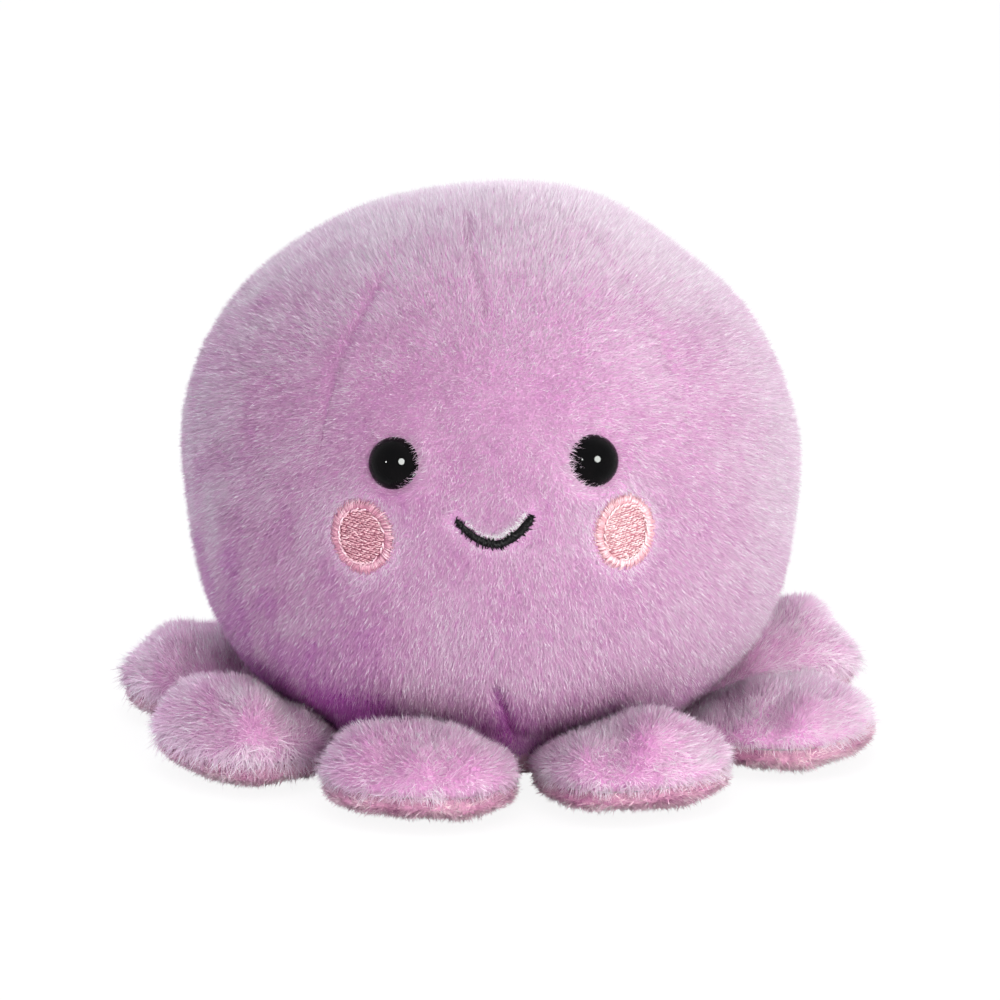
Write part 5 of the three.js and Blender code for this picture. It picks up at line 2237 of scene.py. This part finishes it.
@dataclass
class Studio:
    """A plain white floor with soft light, and the camera at the photograph's angle."""

    target: tuple[float, float, float] = (1.8 * MM, 0.0, 39.6 * MM)
    elevation: float = math.radians(14)
    distance: float = 1.0
    lens: float = 216.0
    floor_size: float = 4.0
    floor_glow: float = 0.9
    paper: Colour = (0.93, 0.93, 0.93, 1)
    sky: Colour = (0.945, 0.915, 1.0, 1)
    world_light: float = 0.91

    def build(self) -> None:
        """Builds the camera, floor, world and lamps."""
        bpy.context.scene.view_settings.view_transform = "Standard"
        self.camera()
        self.floor()
        self.world()
        self.lamp("key", (0.42, -0.93, 0.24), 0.5, 4.2, (1.0, 0.97, 0.9), glints=False)
        self.lamp("top", (0.0, -0.15, 1.05), 0.7, 5.1, (1.0, 0.985, 0.98), glints=False)
        self.lamp("left_sky", (-0.85, 0.4, 0.55), 0.8, 2.5, (0.76, 0.85, 1.0), glints=False)
        self.lamp("right_sky", (0.92, 0.1, 0.4), 0.8, 2.5, (0.95, 0.97, 1.0), glints=False)
        self.lamp("right_low", (0.9, -0.42, 0.12), 0.5, 1.3, (1.0, 0.96, 0.96), glints=False)
        self.catchlight("key_glint", (0.44, -0.9, 0.4), 0.48, 90.0)
        self.catchlight("side_glint", (-0.64, -0.74, 0.33), 0.09, 7.0)

    def camera(self) -> None:
        """The camera, in line with the photograph's."""
        data = bpy.data.cameras.new("camera")
        data.lens, data.sensor_width = self.lens, 36.0
        camera = bpy.data.objects.new("camera", data)
        back = Vector((0, -math.cos(self.elevation), math.sin(self.elevation)))
        camera.location = Vector(self.target) + back * self.distance
        camera.rotation_mode = "QUATERNION"
        camera.rotation_quaternion = (-back).to_track_quat("-Z", "Y")
        data.clip_start, data.clip_end = 0.01, 20
        bpy.context.scene.collection.objects.link(camera)
        bpy.context.scene.camera = camera

    def catchlight(self, name: str, spot: tuple[float, float, float], size: float, power: float) -> None:
        """Adds a lamp that glossy surfaces alone reflect, as they do the bright core of a soft box."""
        lamp = self.lamp(name, spot, size, power, (0.96, 1.0, 0.96))
        lamp.visible_diffuse = False

    def lamp(self, name: str, spot: tuple[float, float, float], size: float, power: float,
             colour: tuple[float, float, float], glints: bool = True) -> Piece:
        """Adds a round soft lamp that faces the toy.

        Args:
            name: The lamp's name.
            spot: Where it stands.
            size: Its diameter.
            power: Its power in watts.
            colour: Its colour.
            glints: Whether glossy surfaces reflect it.

        Returns:
            The lamp.
        """
        data = bpy.data.lights.new(name, "AREA")
        data.shape, data.size, data.energy, data.color = "DISK", size, power, colour
        lamp = bpy.data.objects.new(name, data)
        lamp.location = spot
        aim = Vector((0, 0, 45 * MM)) - Vector(spot)
        lamp.rotation_mode = "QUATERNION"
        lamp.rotation_quaternion = aim.to_track_quat("-Z", "Y")
        lamp.visible_glossy = glints
        bpy.context.scene.collection.objects.link(lamp)
        return lamp

    def seen_white(self, tree: bpy.types.NodeTree) -> Socket:
        """Tells apart the rays that should meet a white background.

        Args:
            tree: The nodes of the floor or the world.

        Returns:
            An output that is 1 for those rays and 0 for the rest.
        """
        path = tree.nodes.new("ShaderNodeLightPath")
        total = path.outputs["Is Camera Ray"]
        for name in ("Is Glossy Ray", "Is Transmission Ray"):
            both = tree.nodes.new("ShaderNodeMath")
            both.operation = "MAXIMUM"
            tree.links.new(total, both.inputs[0])
            tree.links.new(path.outputs[name], both.inputs[1])
            total = both.outputs[0]
        return total

    def whitened(self, holder: Material | bpy.types.World, kinds: tuple[str, str, str], colour: Colour,
                 share: float) -> bpy.types.Node:
        """Gives the floor or the world a plain shader, and a white one for the rays that see it.

        Args:
            holder: The floor's material, or the world.
            kinds: The types of the plain shader, the white one and the output.
            colour: The plain shader's colour.
            share: How much of the white shader those rays see.

        Returns:
            The plain shader.
        """
        holder.use_nodes = True
        tree = holder.node_tree
        tree.nodes.clear()
        kinds = (*kinds, "MixShader", "Math")
        plain, white, output, mixed, part = (tree.nodes.new("ShaderNode" + kind) for kind in kinds)
        plain.inputs["Color"].default_value = colour
        white.inputs["Color"].default_value = (1, 1, 1, 1)
        part.operation = "MULTIPLY"
        part.inputs[1].default_value = share
        tree.links.new(self.seen_white(tree), part.inputs[0])
        for number, node in enumerate((part, plain, white)):
            tree.links.new(node.outputs[0], mixed.inputs[number])
        tree.links.new(mixed.outputs[0], output.inputs["Surface"])
        return plain

    def floor(self) -> None:
        """The floor: white paper that keeps the toy's shadow."""
        material = bpy.data.materials.new("paper")
        self.whitened(material, ("BsdfDiffuse", "Emission", "OutputMaterial"), self.paper, self.floor_glow)
        half = self.floor_size / 2
        points = np.array([(-half, -half, 0), (half, -half, 0), (half, half, 0), (-half, half, 0)])
        new_piece("floor", points, [np.arange(4)[None]], material)

    def world(self) -> None:
        """Even light from all round, seen as white."""
        world = bpy.data.worlds.new("studio")
        bpy.context.scene.world = world
        light = self.whitened(world, ("Background", "Background", "OutputWorld"), self.sky, 1.0)
        light.inputs["Strength"].default_value = self.world_light


# Columns: name, turn, reach share, crown share, skirt and painted light.
ARMS = (
    ArmPlace("front_left", -13, 1, 1, 0.05, 0.1),
    ArmPlace("front_right", 28.5, 1, 1, 0.0, 0.25),
    ArmPlace("right_front", 71, 1.14, 0.78, -0.1, 0.6),
    ArmPlace("right_back", 115, 1.17, 1.15, 0.6, 0.9),
    ArmPlace("back_right", 162, 1, 1, 0.4),
    ArmPlace("back_left", 210, 1, 0.95, 0.4),
    ArmPlace("left_back", 256, 1.02, 0.87, 0.9, 0.65),
    ArmPlace("left_front", 302.5, 0.94, 1.1, 0.9, 0.4),
)
GLOSS = MouldedFinish("eye_gloss", srgb(5, 5, 6), srgb(9, 8, 9), 0.03, 0.05, relief=0.003 * MM,
                      specular=0.055)
WASHER = MouldedFinish("washer_moulding", srgb(212, 212, 206), srgb(232, 232, 228), 0.4, 0.55)
FIBRE = MouldedFinish("fibre_fill", srgb(226, 226, 222), srgb(250, 250, 248), 0.85, 1.0, 900, 0.5 * MM, 0.3)
CALICO = MouldedFinish("calico", srgb(196, 190, 176), srgb(222, 218, 206), 0.8, 0.95, 1500, 0.12 * MM, 0.3)
BEAD = MouldedFinish("bead_moulding", srgb(205, 208, 208), srgb(238, 240, 240), 0.3, 0.45, 500)
# Lit and shaded copies of the cheek threads: the right cheek's are painted paler, as painted light and sheen,
# the left's deeper, as painted shade.
CHEEK_THREADS_LIT_AND_SHADED = {
    Side.LEFT: (
        ThreadFinish("left_ring_thread_painted_shade", srgb(146, 74, 104), srgb(214, 148, 170), srgb(250, 216, 224)),
        ThreadFinish("left_field_thread_painted_shade", srgb(142, 70, 92), srgb(218, 158, 170), srgb(242, 204, 210)),
    ),
    Side.RIGHT: (
        ThreadFinish("right_ring_thread_painted_light", srgb(190, 114, 128), srgb(234, 188, 194), srgb(250, 228, 228)),
        ThreadFinish("right_field_thread_painted_light", srgb(172, 100, 114), srgb(238, 200, 202), srgb(250, 232, 230)),
    ),
}
SMILE_THREAD = ThreadFinish("smile_thread", srgb(4, 4, 5), srgb(14, 12, 14), srgb(24, 20, 24), sheen=0.0,
                            specular=0.06)
# Near-white colours for the smile's fringe: a painted highlight.
FRINGE_HIGHLIGHT = PlushFinish(
    "fringe",
    root=srgb(232, 206, 226),
    middle=srgb(244, 232, 240),
    tip=srgb(252, 246, 250),
    pale_and_lit_root=srgb(253, 246, 251),
    pale_and_lit_tip=srgb(255, 254, 255),
    painted_shade_root=srgb(232, 206, 226),
    painted_shade_tip=srgb(252, 246, 250),
    painted_glint=srgb(255, 253, 255),
)
BAG_THREAD = ThreadFinish("bag_thread", srgb(200, 196, 186), srgb(236, 232, 224), srgb(244, 240, 232))


def dress_washers() -> None:
    """Gives the eyes' lock washers their moulded finish."""
    material = WASHER.material()
    for side in Side:
        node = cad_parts[side.name.lower() + "_eye_washer"]
        for held in node.material_slots:
            held.link = "OBJECT"
            held.material = material
        log.info("%s keeps its solid", node.name)


def main() -> None:
    """Builds the sub-assemblies in order."""
    logging.basicConfig(level=logging.INFO, format="%(message)s")
    form = HeadForm()
    face = Face(form)
    Studio().build()
    Head(form, face, LILAC).build()
    for side in Side:
        Eye(side, face, GLOSS).build()
        Cheek(side, face, *CHEEK_THREADS_LIT_AND_SHADED[side]).build()
    dress_washers()
    Mouth(face, SMILE_THREAD, FRINGE_HIGHLIGHT).build()
    Base(form, PINK).build()
    # The arms use the painted-light copy of the lilac.
    materials = {
        "lilac_plush_cloth": LIT_ARM_LILAC.cloth(), "lilac_plush_pile": LIT_ARM_LILAC.pile(),
        "pink_plush_cloth": PINK.cloth(), "pink_plush_pile": PINK.pile(), "stuffing": FIBRE.material(),
    }
    arm_form = ArmForm()
    for number, place_of in enumerate(ARMS):
        Arm(place_of, math.radians(place_of.turn), number, arm_form, materials).build()
    Inside(face, FIBRE, CALICO, BEAD, BAG_THREAD).build()


if __name__ == "__main__":
    main()
